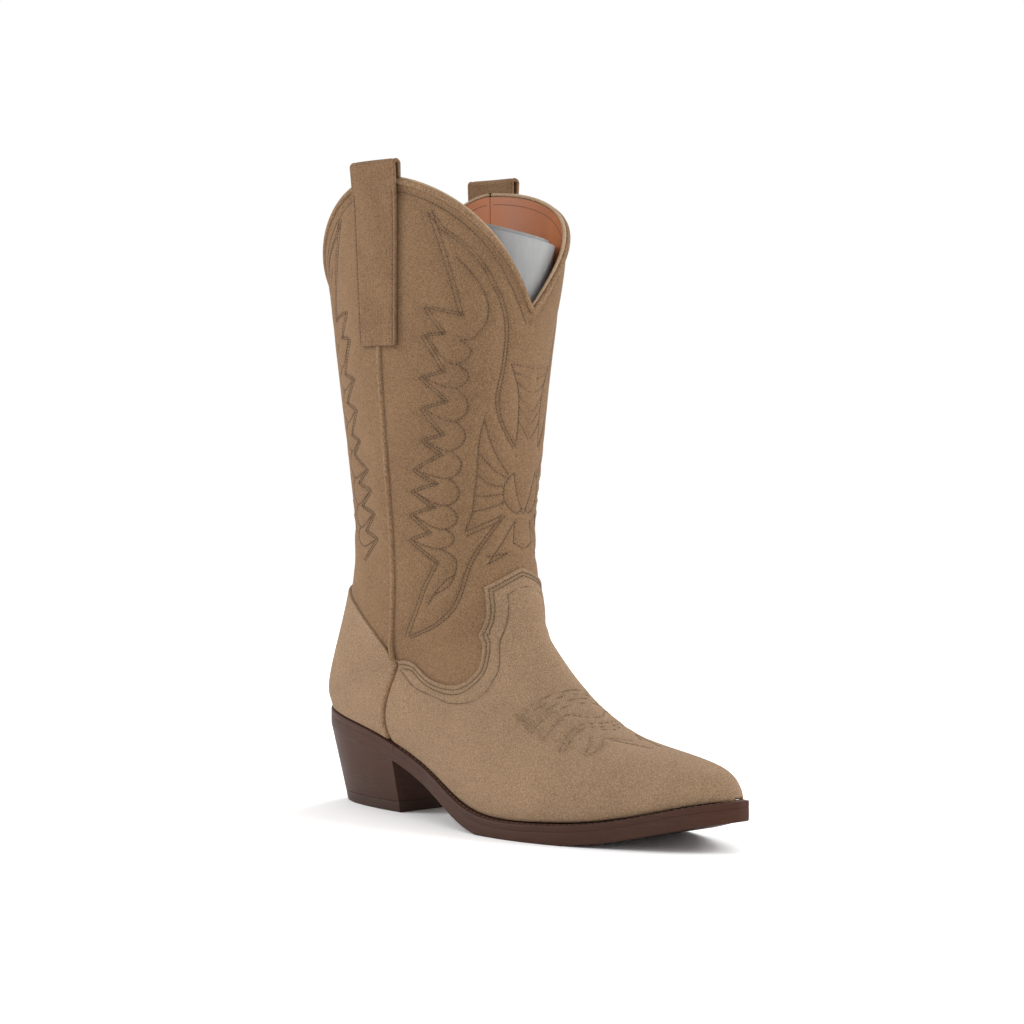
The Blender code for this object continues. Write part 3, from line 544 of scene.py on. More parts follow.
RAYS = [[(19.2, 207), (15.8, 192), (9.4, 179)], [(20.5, 189), (15, 181), (9.2, 177)],
        [(20.7, 178), (16, 173.5), (10.7, 173)], [(21.4, 168), (16, 168), (11, 169)],
        [(22.4, 160), (16, 162), (10, 165)]]
HUB = [(6.6, 179.5), (9, 177), (10.7, 173), (11, 169), (10, 165), (7.2, 161), (3.5, 159), (0.8, 162)]
BODY = [(6.6, 179.5), (5.2, 172), (3.4, 166), (0.6, 159)]
TAIL = [(18.7, 137), (10, 139), (18.9, 133.5), (12, 144), (5, 155), (6.4, 144), (1.2, 141)]
FAN_FOOT = [[(25.7, 150), (11.3, 158)], [(24.9, 148), (11.6, 155.5)]]
DOUBLE_ROW = 1.15            # between the two rows of a doubled line
PANEL_MIDDLE = 0.055


def doubled(run):
    """A run and a second one close beside it."""
    return run, beside(run, DOUBLE_ROW)


def motif(below=0.0):
    """Every stitch line of half a panel, as runs of (across, height); lines under a height left out."""
    lines = [*doubled(straight(FLAME)), curved(BIG_SCALLOP), curved(HOOK), curved(BUD)]
    lines += [*doubled(curved(LEAF_EDGE)), *doubled(curved(STEM))]
    for (a, top), (b, foot), (c, tip) in zip(CUSPS[:-1], CUSPS[1:], PETAL_TIPS):
        lines.append(curved([(a, top), (a + 0.3 * (b - a) - SCALLOP_BULGE * 0.85, top + 0.3 * (foot - top)),
                             (a + 0.7 * (b - a) - SCALLOP_BULGE, top + 0.7 * (foot - top)), (b, foot),
                             (b + 0.45 * (c - b), foot + 0.25 * (tip - foot)), (c - 1.0, tip - 0.6)]))
    lines += [*doubled(curved(SWEEP)), curved(LONG_LEAF), curved(FAN_EDGE), curved(HUB)]
    lines += [curved(f) if len(f) > 2 else straight(f) for f in FEATHERS + RAYS]
    lines += [curved(BODY), straight(TAIL)] + [straight(line) for line in FAN_FOOT]
    return [run for run in lines if run[:, 1].min() > below]


def motif_on_leg(middle, spread, below=0.0):
    """The motif and its mirror image as runs of (s, t) about a line of the leg."""
    placed = []
    for run in motif(below):
        for side in (-1.0, 1.0):
            fine = straight(run, 5)
            t = middle + side * spread * fine[:, 0] / 100.0
            t = np.where(t < -1.0, t + 2.0, t)
            placed.append((station_at(t, fine[:, 1]), t))
    return placed


def shares(count, length):
    """Shares from 0 to 1, with extra ones close to both ends of a run of this length."""
    near = np.array([0.12, 0.3, 0.5, 0.75, 1.1]) / length
    return np.unique(np.concatenate([np.linspace(0.0, 1.0, count), near, 1.0 - near]))


TOP_ROW_DROP = 5.6


def top_row(t, drop):
    """Stitch row under the top line, as (s, t)."""
    return top_station(t, drop), t


FRONT_FOOT = ((0.0, 10.6), (0.3, 10.8), (0.5, 11.1), (0.6, 11.05), (0.7, 10.6), (0.8, 9.6), (0.9, 8.5),
              (1.0, 7.15))
front_rows = motif_on_leg(PANEL_MIDDLE, 1.0)
front_rows.append(top_row(np.linspace(-SEAM_OUTER + 0.01, SEAM_INNER - 0.01, 300), TOP_ROW_DROP))
share = np.linspace(-1.0, 1.0, 171)
start = top_station(np.where(share < 0, SEAM_OUTER, SEAM_INNER) * share)
foot = np.interp(np.abs(share), *np.transpose(FRONT_FOOT))
s = start + (foot - start) * np.linspace(0.0, 1.0, 241)[:, None]
t = share * np.where(share < 0, seam_share(s, -1, -SEAM_GAP), seam_share(s, 1, -SEAM_GAP))
leather_panel("front_panel", s, t, SHAFT_LAYER, "shaft_front", [form(*row) for row in front_rows], 0.0)


def stitch_tree():
    """Geometry nodes that sew along edges: threads, with a near-black bead between each two as painted
    shade in the needle hole.
    """
    tree = bpy.data.node_groups.new("stitch_rows", "GeometryNodeTree")
    face = tree.interface
    face.new_socket("Rows", in_out="INPUT", socket_type="NodeSocketGeometry")
    for name in ("Pitch", "Thread Length", "Thread Radius", "Hole Radius"):
        face.new_socket(name, in_out="INPUT", socket_type="NodeSocketFloat")
    for name in ("Thread", "Needle Hole Shade"):
        face.new_socket(name, in_out="INPUT", socket_type="NodeSocketMaterial")
    face.new_socket("Stitches", in_out="OUTPUT", socket_type="NodeSocketGeometry")

    def node(kind, settings=None, sockets=None):
        made = tree.nodes.new(kind)
        for name, value in (settings or {}).items():
            setattr(made, name, value)
        for name, value in (sockets or {}).items():
            if isinstance(value, bpy.types.NodeSocket):
                tree.links.new(value, made.inputs[name])
            else:
                made.inputs[name].default_value = value
        return made.outputs

    given = node("NodeGroupInput")
    half = node("ShaderNodeMath", {"operation": "MULTIPLY"}, {0: given["Pitch"], 1: 0.5})[0]
    curve = node("GeometryNodeMeshToCurve", {}, {"Mesh": given["Rows"]})[0]
    even = node("GeometryNodeResampleCurve", {"mode": "LENGTH"}, {"Curve": curve, "Length": half})[0]
    spots = node("GeometryNodeCurveToPoints", {"mode": "EVALUATED"}, {"Curve": even})
    turn = node("FunctionNodeAlignRotationToVector", {"axis": "X"}, {"Vector": spots["Tangent"]})[0]
    index = node("GeometryNodeInputIndex")[0]
    parity = node("ShaderNodeMath", {"operation": "MODULO"}, {0: index, 1: 2.0})[0]
    sewn = []
    for width, high, rings, finish, chosen in (
            ("Thread Length", "Thread Radius", 4, "Thread", "LESS_THAN"),
            ("Hole Radius", "Hole Radius", 3, "Needle Hole Shade", "GREATER_THAN")):
        ball = node("GeometryNodeMeshUVSphere", {}, {"Segments": 7, "Rings": rings, "Radius": 1.0})[0]
        size = node("ShaderNodeCombineXYZ", {}, {0: given[width], 1: given[high], 2: given[high]})[0]
        bead = node("GeometryNodeTransform", {}, {"Geometry": ball, "Scale": size})[0]
        soft = node("GeometryNodeSetShadeSmooth", {}, {"Geometry": bead})[0]
        pick = node("FunctionNodeCompare", {"operation": chosen}, {0: parity, 1: 0.5})[0]
        sown = node("GeometryNodeInstanceOnPoints", {}, {"Points": spots["Points"], "Selection": pick,
                                                          "Instance": soft, "Rotation": turn})[0]
        real = node("GeometryNodeRealizeInstances", {}, {"Geometry": sown})[0]
        sewn.append(node("GeometryNodeSetMaterial", {}, {"Geometry": real, "Material": given[finish]})[0])
    both = node("GeometryNodeJoinGeometry")
    for part in sewn:
        tree.links.new(part, both[0].node.inputs[0])
    node("NodeGroupOutput", {}, {"Stitches": both[0]})
    return tree


STITCHES = stitch_tree()
THREAD_SHARE = 0.31          # half a thread's length as a share of the pitch


def sew(name, runs, thread=THREAD, pitch=STITCH_PITCH, radius=0.25, hole_radius=0.27):
    """Stitches along runs of points in millimetres, as one plain mesh that rides on the boot."""
    points = np.vstack(runs) * MM
    ends = np.cumsum([len(run) for run in runs])
    edges = [(k, k + 1) for k in range(len(points) - 1) if k + 1 not in ends]
    rows = bpy.data.meshes.new(name + "_rows")
    rows.from_pydata(points.tolist(), edges, [])
    guide = bpy.data.objects.new(name + "_rows", rows)
    bpy.context.scene.collection.objects.link(guide)
    sewing = guide.modifiers.new("sewing", "NODES")
    sewing.node_group = STITCHES
    given = {"Pitch": pitch * MM, "Thread Length": pitch * THREAD_SHARE * MM, "Thread Radius": radius * MM,
             "Hole Radius": hole_radius * MM, "Thread": thread, "Needle Hole Shade": NEEDLE_HOLE_SHADE}
    for item in STITCHES.interface.items_tree:
        if item.in_out == "INPUT" and item.name in given:
            sewing[item.identifier] = given[item.name]
    evaluated = guide.evaluated_get(bpy.context.evaluated_depsgraph_get())
    mesh = bpy.data.meshes.new_from_object(evaluated)
    mesh.name = name
    made = bpy.data.objects.new(name, mesh)
    bpy.context.scene.collection.objects.link(made)
    bpy.data.objects.remove(guide, do_unlink=True)
    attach(made, "boot")
    return made


STITCH_RISE = 0.12           # middle of the threads above the groove's bottom
STITCH_SINK = -(QUILT_DEPTH + GROOVE_DEPTH) + STITCH_RISE


def on_skin(rows, offset=STITCH_SINK):
    """Runs of points at one distance outside the last, from runs of (s, t)."""
    return [skin(s, t, np.full(np.shape(t), offset)) for s, t in rows]


sew("front_panel_stitches", on_skin(front_rows))

# ---------------------------------------------------------------- shaft back
# Back half of the shaft, cut from the same suede and quilted with the same motif, narrower; its
# lower edge runs under the heel cover.
BACK_MIDDLE = -0.945
BACK_SPREAD = 0.9
back_rows = motif_on_leg(BACK_MIDDLE, BACK_SPREAD, 127.0)
for side, seam in ((-1.0, SEAM_OUTER), (1.0, SEAM_INNER)):
    back_rows.append(top_row(side * np.linspace(seam + 0.01, 1.0, 160), TOP_ROW_DROP))


def heel_cover_top(share):
    """Station of the heel cover's top edge, a dip at the seams (share 1) and a hump at the back."""
    return 4.45 + 2.1 * (1.0 - np.sqrt(np.clip(1.0 - share ** 2, 0.0, 1.0)))


def back_grid(rows, cols, foot_of, gap=SEAM_GAP, drop=PANEL_DROP):
    """Coordinates of a panel across the back line, from the top line down."""
    share = np.linspace(0.0, 1.0, cols)
    halves = []
    for side in (-1, 1):
        seam = SEAM_OUTER if side < 0 else SEAM_INNER
        start = top_station(side * (1.0 - share * (1.0 - seam)), drop)
        s = start + (foot_of(share) - start) * np.linspace(0.0, 1.0, rows)[:, None]
        halves.append((s, side * (1.0 - share * (1.0 - seam_share(s, side, gap)))))
    (s_out, t_out), (s_in, t_in) = halves
    return np.hstack([s_out[:, ::-1], s_in[:, 1:]]), np.hstack([t_out[:, ::-1], t_in[:, 1:]])


s, t = back_grid(191, 76, lambda share: heel_cover_top(share) + 0.25)
leather_panel("back_panel", s, t, SHAFT_LAYER, "shaft_back", [form(*row) for row in back_rows], 0.0)
sew("back_panel_stitches", on_skin(back_rows))

# ---------------------------------------------------------------- vamp
# One piece of suede lasted over the foot, with a tongue up the front of the shaft. Its top edge is
# sewn down with two close rows and a third further in; the toe carries rows of ornament stitching.
COVER_LAYER = (0.1, 1.6)
# Painted light: a lighter copy of the same tan suede, for the vamp and the heel cover.
LIT_SUEDE_COPY = suede_look("vamp_suede_painted_light", (0.358, 0.234, 0.142), (0.145, 0.092, 0.053))
TONGUE = (
    # share of the way to the seam, station: the top edge from the ridge round to the seam
    (0.000, 4.86), (0.090, 4.94), (0.180, 5.03), (0.270, 5.13), (0.360, 5.22), (0.375, 5.85), (0.415, 6.50),
    (0.470, 7.40), (0.450, 8.60), (0.452, 9.80), (0.480, 10.45), (0.560, 10.75), (0.670, 10.30),
    (0.790, 9.30), (0.900, 8.00), (1.000, 6.80),
)
TONGUE_CORNER = 4
TONGUE_LANDS = (0.0, 0.035, 0.07, 0.10, 0.13, 0.16, 0.19, 0.23, 0.30, 0.37, 0.44, 0.54, 0.66, 0.78,
                0.90, 1.0)
edge = np.vstack([curved(TONGUE[:TONGUE_CORNER + 1], 6)[:-1], curved(TONGUE[TONGUE_CORNER:], 6)])
lands = np.interp(np.arange(len(edge)) / 6.0, np.arange(len(TONGUE_LANDS)), TONGUE_LANDS)
edge = np.vstack([edge[:0:-1] * (-1.0, 1.0), edge])
lands = np.concatenate([-lands[:0:-1], lands])


def vamp_place(share, s):
    """(s, t) of a place on the vamp given as a share of the way to the side seam."""
    reach = np.where(share < 0, seam_share(s, -1, -SEAM_GAP), seam_share(s, 1, -SEAM_GAP))
    return s, share * np.minimum(reach, 1.0)


def inward(s, t, gap):
    """A run on the last moved sideways across the surface, to the left of its way, by gap."""
    step = 0.01
    p = form(s, t)
    along = np.gradient(p, axis=0)
    along /= np.maximum(np.linalg.norm(along, axis=1, keepdims=True), 1e-9)
    by_s = (form(s + step, t) - form(s - step, t)) / (2 * step)
    by_t = (form(s, t + step) - form(s, t - step)) / (2 * step)
    normal = np.cross(by_s, by_t)
    normal /= np.linalg.norm(normal, axis=1, keepdims=True)
    aim = np.cross(normal, along) * gap
    ss, st, tt = ((a * b).sum(1) for a, b in ((by_s, by_s), (by_s, by_t), (by_t, by_t)))
    sa, ta = (by_s * aim).sum(1), (by_t * aim).sum(1)
    area = ss * tt - st * st
    return s + (sa * tt - ta * st) / area, t + (ta * ss - sa * st) / area


def tidy_run(s, t, border, gap):
    """Drops the parts of a moved run that come nearer to the border than the gap allows."""
    away = near_lines(form(s, t), [border])
    keep = away > 0.93 * gap
    return s[keep], t[keep]


s_edge, t_edge = vamp_place(edge[:, 0], edge[:, 1])
fine = np.linspace(0.0, len(edge) - 1.0, 900)
s_edge, t_edge = (np.interp(fine, np.arange(len(edge)), c) for c in (s_edge, t_edge))
border = form(s_edge, t_edge)
vamp_rows = []
for gap in (2.3, 4.3):
    moved = min((inward(s_edge, t_edge, way * gap) for way in (-1.0, 1.0)), key=lambda run: -run[0].mean())
    vamp_rows.append(tidy_run(*moved, border, gap))
THIRD_ROW = [(0.0, 5.33), (0.09, 5.37), (0.19, 5.52), (0.257, 6.9), (0.32, 8.4), (0.342, 10.0),
             (0.377, 11.1), (0.475, 11.54), (0.568, 11.45), (0.64, 11.13), (0.737, 10.54),
             (0.858, 9.58), (0.97, 8.3)]
third = np.vstack([straight(THIRD_ROW[:3]), curved(THIRD_ROW[2:])[1:]])
third = np.vstack([third[:0:-1] * (-1.0, 1.0), third])
vamp_rows.append(vamp_place(third[:, 0], third[:, 1]))
TOE_ROWS = [
    # (station, t) from the outer side up to the ridge; the inner side mirrors them
    [(12.57, 0.405), (12.42, 0.26), (12.38, 0.11), (12.38, 0.0)],
    [(12.72, 0.405), (12.57, 0.26), (12.53, 0.11), (12.53, 0.0)],
    [(12.87, 0.410), (12.72, 0.27), (12.68, 0.11), (12.68, 0.0)],
    [(13.00, 0.415), (12.87, 0.28), (12.83, 0.11), (12.83, 0.0)],
    [(13.28, 0.407), (13.13, 0.27), (13.05, 0.17), (13.22, 0.10), (13.35, 0.0)],
    [(13.70, 0.420), (13.50, 0.28), (13.42, 0.17), (13.50, 0.08), (13.55, 0.0)],
    [(13.80, 0.420), (13.62, 0.28), (13.55, 0.17), (13.63, 0.08), (13.68, 0.0)],
    [(14.12, 0.380), (13.98, 0.27), (13.78, 0.19), (13.74, 0.09), (13.82, 0.0)],
    [(14.20, 0.360), (14.16, 0.24), (14.02, 0.15), (14.22, 0.08), (14.36, 0.03)],
    [(14.02, 0.15), (14.30, 0.115), (14.58, 0.08), (14.78, 0.05)],
]
for row in TOE_ROWS:
    run = curved(row)
    vamp_rows += [(run[:, 0], side * run[:, 1]) for side in (-1.0, 1.0)]
down = shares(136, 150.0)[:, None]
s = edge[:, 1] + (TIP - edge[:, 1]) * down
share = edge[:, 0] + (lands - edge[:, 0]) * down ** 0.8
QUILT_DEPTH, GROOVE_DEPTH, QUILT_REACH = 0.35, 0.3, 2.2
sunk = [form(*row) for row in vamp_rows]
leather_panel("vamp_panel", *vamp_place(share, s), COVER_LAYER, "vamp", sunk, 0.7, LIT_SUEDE_COPY)
sew("vamp_stitches", on_skin(vamp_rows, COVER_LAYER[1] - QUILT_DEPTH - GROOVE_DEPTH + STITCH_RISE))

# ---------------------------------------------------------------- heel cover
# Suede cover over the stiffened back of the foot, from side seam to side seam, its top edge turned
# in so that no stitch shows; the stiffener under it holds the heel's shape.
HEEL_COVER_FOOT = 11.1


def heel_cover_half(side, above, below, cols):
    """Coordinates of one half of the heel cover: rows down to the seat, then rows round it."""
    share = np.linspace(0.0, 1.0, cols)
    start = heel_cover_top(share)
    upper = start + (SEAT - start) * shares(above, 55.0)[:, None]
    lower = np.linspace(SEAT, HEEL_COVER_FOOT, below)[1:, None] + np.zeros(cols)
    s = np.vstack([upper, lower])
    return s, side * (1.0 - share * (1.0 - np.minimum(seam_share(s, side, SEAM_GAP), 1.0))), len(upper)


cover_points, cover_faces = [], []
for side in (-1, 1):
    s, t, shared = heel_cover_half(side, 40, 70, 72)
    rows, cols = s.shape
    base = form(s, t)
    from_top = np.vstack([np.zeros(cols), np.cumsum(np.linalg.norm(np.diff(base, axis=0), axis=2), axis=0)])
    rounded = 0.7 * (1.0 - np.sqrt(1.0 - (1.0 - np.clip(from_top / 0.7, 0.0, 1.0)) ** 2))
    walls = [skin(s, t, np.full(s.shape, COVER_LAYER[0])), skin(s, t, COVER_LAYER[1] - rounded)]
    for wall in walls:
        wall[:shared, 0, 0] = 0.0
    faces = shell_faces(rows, cols)
    back_line = np.arange(shared) * cols
    joined = np.isin(faces, np.concatenate([back_line, back_line + rows * cols])).all(axis=1)
    faces = faces[~joined] + 2 * rows * cols * (side > 0)
    cover_points += [wall.reshape(-1, 3) for wall in walls]
    cover_faces.append(faces if side < 0 else faces[:, ::-1])
# The heel cover takes the lighter copy of the suede, which is painted light.
heel_cover = piece("heel_cover", np.vstack(cover_points), np.vstack(cover_faces), LIT_SUEDE_COPY)
weld = bmesh.new()
weld.from_mesh(heel_cover.data)
bmesh.ops.remove_doubles(weld, verts=weld.verts, dist=0.01 * MM)
bmesh.ops.recalc_face_normals(weld, faces=weld.faces)
weld.to_mesh(heel_cover.data)
weld.free()
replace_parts(heel_cover, "counter_cover")

# ---------------------------------------------------------------- shaft linings
# Smooth orange-tan leather inside the shaft, a front and a back piece that meet in plain seams; one
# row of stitches under the top line holds them to the suede.
LINING_LAYER = (-2.9, -1.8)
LINING_FOOT = 7.2
LINING_GAP = 0.1
LINING_DROP = 0.2


def lining_look():
    """Smooth tanned leather with faint creases and cloudy colour."""
    look = Look("orange_tan_leather", 0.48, Specular_IOR_Level=0.35)
    place = look.place()
    cloud = look.noise(place, 28.0, 4.0, 0.6)
    pores = look.noise(place, 1500.0, 2.0)
    creases = look.noise(look.place((1.0, 1.0, 4.0)), 60.0, 3.0, 0.6)
    hide = look.tint(look.band(cloud, 0.3, 0.7), rgb(0.245, 0.064, 0.011), rgb(0.37, 0.104, 0.019))
    return look.finish(hide, look.band(cloud, 0.3, 0.7, 0.42, 0.58), pores * 0.3 + creases * 0.7, 0.25, 0.4)


LINING = lining_look()
share = np.linspace(-1.0, 1.0, 101)
start = top_station(np.where(share < 0, SEAM_OUTER, SEAM_INNER) * share, LINING_DROP)
s = start + (LINING_FOOT - start) * np.linspace(0.0, 1.0, 90)[:, None]
t = share * np.where(share < 0, seam_share(s, -1, -LINING_GAP), seam_share(s, 1, -LINING_GAP))
leather_panel("front_lining", s, t, LINING_LAYER, "shaft_lining_front", (), 0.0, LINING, "lining")
s, t = back_grid(80, 46, lambda share: np.full(share.shape, 7.0), LINING_GAP, LINING_DROP)
leather_panel("back_lining", s, t, LINING_LAYER, "lining_back", (), 0.0, LINING, "lining")
LINING_THREAD = thread_look("lining_thread", (0.22, 0.10, 0.05))
LINING_STITCH_FACE = LINING_LAYER[0] + 0.05
lining_rows = [top_row(np.linspace(-SEAM_OUTER + 0.01, SEAM_INNER - 0.01, 300), 4.4)]
for side, seam in ((-1.0, SEAM_OUTER), (1.0, SEAM_INNER)):
    lining_rows.append(top_row(side * np.linspace(seam + 0.012, 1.0, 160), 4.4))
sew("lining_stitches", on_skin(lining_rows, LINING_STITCH_FACE), LINING_THREAD)

# ---------------------------------------------------------------- top binding
# A narrow strip of suede folded over the top line, piped with a second, lighter roll on its inner
# edge; a front and a back length that meet at the side seams under the pull straps.
TRIM = suede_look("folded_suede", (0.300, 0.186, 0.104), (0.130, 0.075, 0.040), 900.0)
TRIM_PALE = suede_look("rolled_edge", (0.43, 0.300, 0.195), (0.27, 0.175, 0.105), 900.0)


def roll(name, runs, looks, sides=14):
    """Rolls of leather along runs of (s, t, offset, radius): round, with domed ends, one mesh."""
    points, faces = [], []
    for s, t, offset, radius in runs:
        path = skin(s, t, offset)
        out = skin(s, t, np.asarray(offset) + 0.5) - path
        along = np.gradient(path, axis=0)
        along /= np.linalg.norm(along, axis=1, keepdims=True)
        out -= along * (out * along).sum(1, keepdims=True)
        out /= np.linalg.norm(out, axis=1, keepdims=True)
        over = np.cross(along, out)
        dome = np.array([0.03, 0.45, 0.8])
        swell = np.concatenate([dome, np.ones(len(path)), dome[::-1]])
        slip = radius * np.sqrt(1.0 - dome ** 2)[:, None]
        path = np.vstack([path[0] - along[0] * slip, path, path[-1] + along[-1] * slip[::-1]])
        out, over = (np.vstack([v[:1]] * 3 + [v] + [v[-1:]] * 3) for v in (out, over))
        turn = np.linspace(0.0, 2.0 * math.pi, sides, endpoint=False)[None, :, None]
        spokes = np.cos(turn) * out[:, None] + np.sin(turn) * over[:, None]
        rings = path[:, None] + radius * swell[:, None, None] * spokes
        first = sum(len(p) for p in points)
        numbers = first + np.arange(len(path) * sides).reshape(len(path), sides)
        nxt = np.roll(numbers, -1, axis=1)
        faces.append(np.stack([numbers[:-1], nxt[:-1], nxt[1:], numbers[1:]], -1).reshape(-1, 4))
        for ring in (numbers[0][::-1], numbers[-1]):
            half = sides // 2
            faces.append(np.array([(ring[k], ring[k + 1], ring[sides - 2 - k], ring[sides - 1 - k])
                                   for k in range(half - 1)]))
        points.append(rings.reshape(-1, 3))
    return piece(name, np.vstack(points), np.vstack(faces), looks, smooth_angle=70.0)


def top_run(t, raise_by, offset, radius):
    """A roll along the top line."""
    return leg_station(top_height(t) + raise_by), t, np.full(t.shape, offset), radius


ENDS = 0.006
front_t = np.linspace(-SEAM_OUTER + ENDS, SEAM_INNER - ENDS, 241)
back_t = np.linspace(SEAM_INNER + ENDS, 2.0 - SEAM_OUTER - ENDS, 201)
back_t = np.where(back_t > 1.0, back_t - 2.0, back_t)
for which, t in (("front", front_t), ("back", back_t)):
    fold = roll(f"{which}_edge_fold", [top_run(t, -0.6, -0.35, 1.45)], TRIM)
    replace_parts(fold, f"top_binding_{which}")
    roll(f"{which}_edge_piping", [top_run(t, 0.95, -2.2, 1.0)], TRIM_PALE, 12)

# ---------------------------------------------------------------- side piping
# Suede folded round a cord and caught in each side seam, from under the pull strap to the sole.
STRAP_FOOT = 245.0
for name, side in (("outer", -1), ("inner", 1)):
    s = np.linspace(float(leg_station(STRAP_FOOT + 3.0)), 11.1, 220)
    lift = 0.1 + 0.95 * np.clip(s - 5.6, 0.0, 1.0)
    piping = roll(f"{name}_piping", [(s, side * seam_share(s, side), lift, 1.6)], TRIM)
    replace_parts(piping, f"side_piping_{name}")

# ---------------------------------------------------------------- pull straps
# Napped, cloth-backed strap folded over the top line at each side seam: sewn down outside, with rows
# along both edges and a stitched box at the foot, its inner end caught in the binding.
STRAP_WIDTH = 32.0
STRAP_THICKNESS = 2.0
STRAP_INNER_END = -1.45
STRAP_LANDING = 1.9
STRAP_LAST_ROWS = 6
STRAP_CROWN = 339.5
STRAP_BOW = 1.3              # how far the strap swings out below its crown


def strap_look():
    """Napped cloth-backed strap: close cross weave under a short nap."""
    look = Look("strap_cloth", 0.95, Sheen_Weight=0.03, Sheen_Roughness=0.6, Specular_IOR_Level=0.1)
    weave_place = look.node("ShaderNodeUVMap", {"uv_map": "strap"})
    across = look.node("ShaderNodeTexWave", {"bands_direction": "Y", "wave_profile": "SIN"},
                       {"Vector": weave_place, "Scale": 330.0, "Distortion": 1.2, "Detail": 1.0}, out=1)
    along = look.node("ShaderNodeTexWave", {"bands_direction": "X", "wave_profile": "SIN"},
                      {"Vector": weave_place, "Scale": 260.0, "Distortion": 1.2, "Detail": 1.0}, out=1)
    weave = across * 0.5 + along * 0.5
    fuzz = look.noise(look.place(), 900.0, 3.0, 0.6)
    cloud = look.noise(look.place(), 60.0, 2.0)
    tone = weave * 0.3 + look.band(fuzz, 0.3, 0.7) * 0.5 + look.band(cloud, 0.3, 0.7) * 0.2
    cloth = look.tint(tone, rgb(0.085, 0.046, 0.023), rgb(0.257, 0.153, 0.085))
    return look.finish(cloth, None, weave * 0.5 + fuzz * 0.5, 0.5, 0.25)


STRAP = strap_look()
STRAP_ROWS = (
    # each row's ends as (across the strap, height)
    ((-13.8, 247.0), (-13.8, 322.0)), ((13.8, 322.0), (13.8, 247.0)), ((-13.8, 247.0), (13.8, 247.0)),
    ((-13.8, 256.5), (13.8, 256.5)), ((-11.5, 248.5), (-11.5, 256.5)), ((11.5, 248.5), (11.5, 256.5)),
)


def strap_line(per):
    """Middle line of a strap as (distance outside the last, height): up the outside, over the crown."""
    outer = 0.5 + STRAP_THICKNESS / 2
    crown = STRAP_CROWN - STRAP_THICKNESS / 2
    half = (outer + STRAP_BOW - STRAP_INNER_END) / 2
    shoulder = crown - half * 0.9
    up = [(outer + STRAP_BOW * ((z - STRAP_FOOT) / (shoulder - STRAP_FOOT)) ** 6, z)
          for z in np.linspace(STRAP_FOOT, shoulder, 8 * per)]
    arc = [(STRAP_INNER_END + half * (1.0 + math.cos(a)), shoulder + half * 0.9 * math.sin(a))
           for a in np.linspace(0.0, math.pi, 5 * per)[1:]]
    return np.array(up + arc)


def strap_across(side, seam):
    """Change of t for each millimetre across a strap."""
    reach = form(0.5, side * (seam + 0.01)) - form(0.5, side * (seam - 0.01))
    return 0.02 / np.linalg.norm(reach)


for name, side, seam in (("outer", -1, SEAM_OUTER), ("inner", 1, SEAM_INNER)):
    per_mm = strap_across(side, seam)
    line = strap_line(7)
    step = np.gradient(line, axis=0)
    step[-1] = (0.0, -1.0)
    step = np.column_stack([step[:, 1], -step[:, 0]])
    step /= np.linalg.norm(step, axis=1, keepdims=True)
    place = (shares(41, STRAP_WIDTH) - 0.5) * STRAP_WIDTH
    edge_in = 1.0 - np.clip((STRAP_WIDTH / 2 - np.abs(place)) / 0.9, 0.0, 1.0)
    half_thick = STRAP_THICKNESS / 2 * (0.35 + 0.65 * np.sqrt(1.0 - edge_in ** 2))
    seam_in = np.exp(-((STRAP_WIDTH / 2 - 2.2 - np.abs(place)) / 0.7) ** 2) * 0.25
    walls = []
    for way in (-1.0, 1.0):
        level = line[:, None] + way * step[:, None] * (half_thick - seam_in)[None, :, None]
        t = side * (seam + place * per_mm)
        down = np.linspace(0.0, 1.0, STRAP_LAST_ROWS + 1)[1:, None]
        end = level[-1, :, 1]
        z = np.vstack([level[..., 1], end + (top_height(t) + STRAP_LANDING - end) * down])
        offset = np.vstack([level[..., 0], level[-1, :, 0] + 0.0 * down])
        walls.append(skin(leg_station(z), t + 0.0 * z, offset).reshape(-1, 3))
    rows, cols = len(line) + STRAP_LAST_ROWS, len(place)
    strap = piece(f"{name}_strap", np.vstack(walls), shell_faces(rows, cols), STRAP)
    length = np.concatenate([[0.0], np.cumsum(np.linalg.norm(np.diff(line, axis=0), axis=1))])
    length = np.append(length, length[-1] + np.arange(1.0, STRAP_LAST_ROWS + 1.0))
    u, v = (a.ravel() * MM for a in np.meshgrid(place, length))
    uv = strap.data.uv_layers.new(name="strap")
    corner = np.zeros(len(strap.data.loops), int)
    strap.data.loops.foreach_get("vertex_index", corner)
    uv.data.foreach_set("uv", np.column_stack([u, v])[corner % (rows * cols)].ravel())
    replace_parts(strap, f"pull_strap_{name}")

    face = 0.5 + STRAP_THICKNESS - 0.15
    runs = []
    for (x0, z0), (x1, z1) in STRAP_ROWS:
        x, z = np.linspace(x0, x1, 40), np.linspace(z0, z1, 40)
        bow = STRAP_BOW * np.clip((z - STRAP_FOOT) / (334.5 - STRAP_FOOT), 0.0, 1.0) ** 6
        runs.append(skin(leg_station(z), side * (seam + x * per_mm), face + bow))
    sew(f"{name}_strap_stitches", runs, pitch=2.5, radius=0.24, hole_radius=0.3)

# ---------------------------------------------------------------- welt and sole
# A strip of sole leather under the upper's edge, sewn through to the outsole round the foot and
# carried round the heel as a rand; both and the outsole are stained one dark brown and waxed.
WELT_TOP = -1.0
WELT_INNER_TOP = -0.1
WELT_UNDER = -4.25
OUTSOLE_TOP = -4.35
OUTSOLE_WAIST = 4.95
OUTSOLE_TREAD = 6.65
WELT_REACH = 5.0
WELT_INWARD = 5.0
WAIST_REACH = 3.0
SEAT_REACH = 2.4


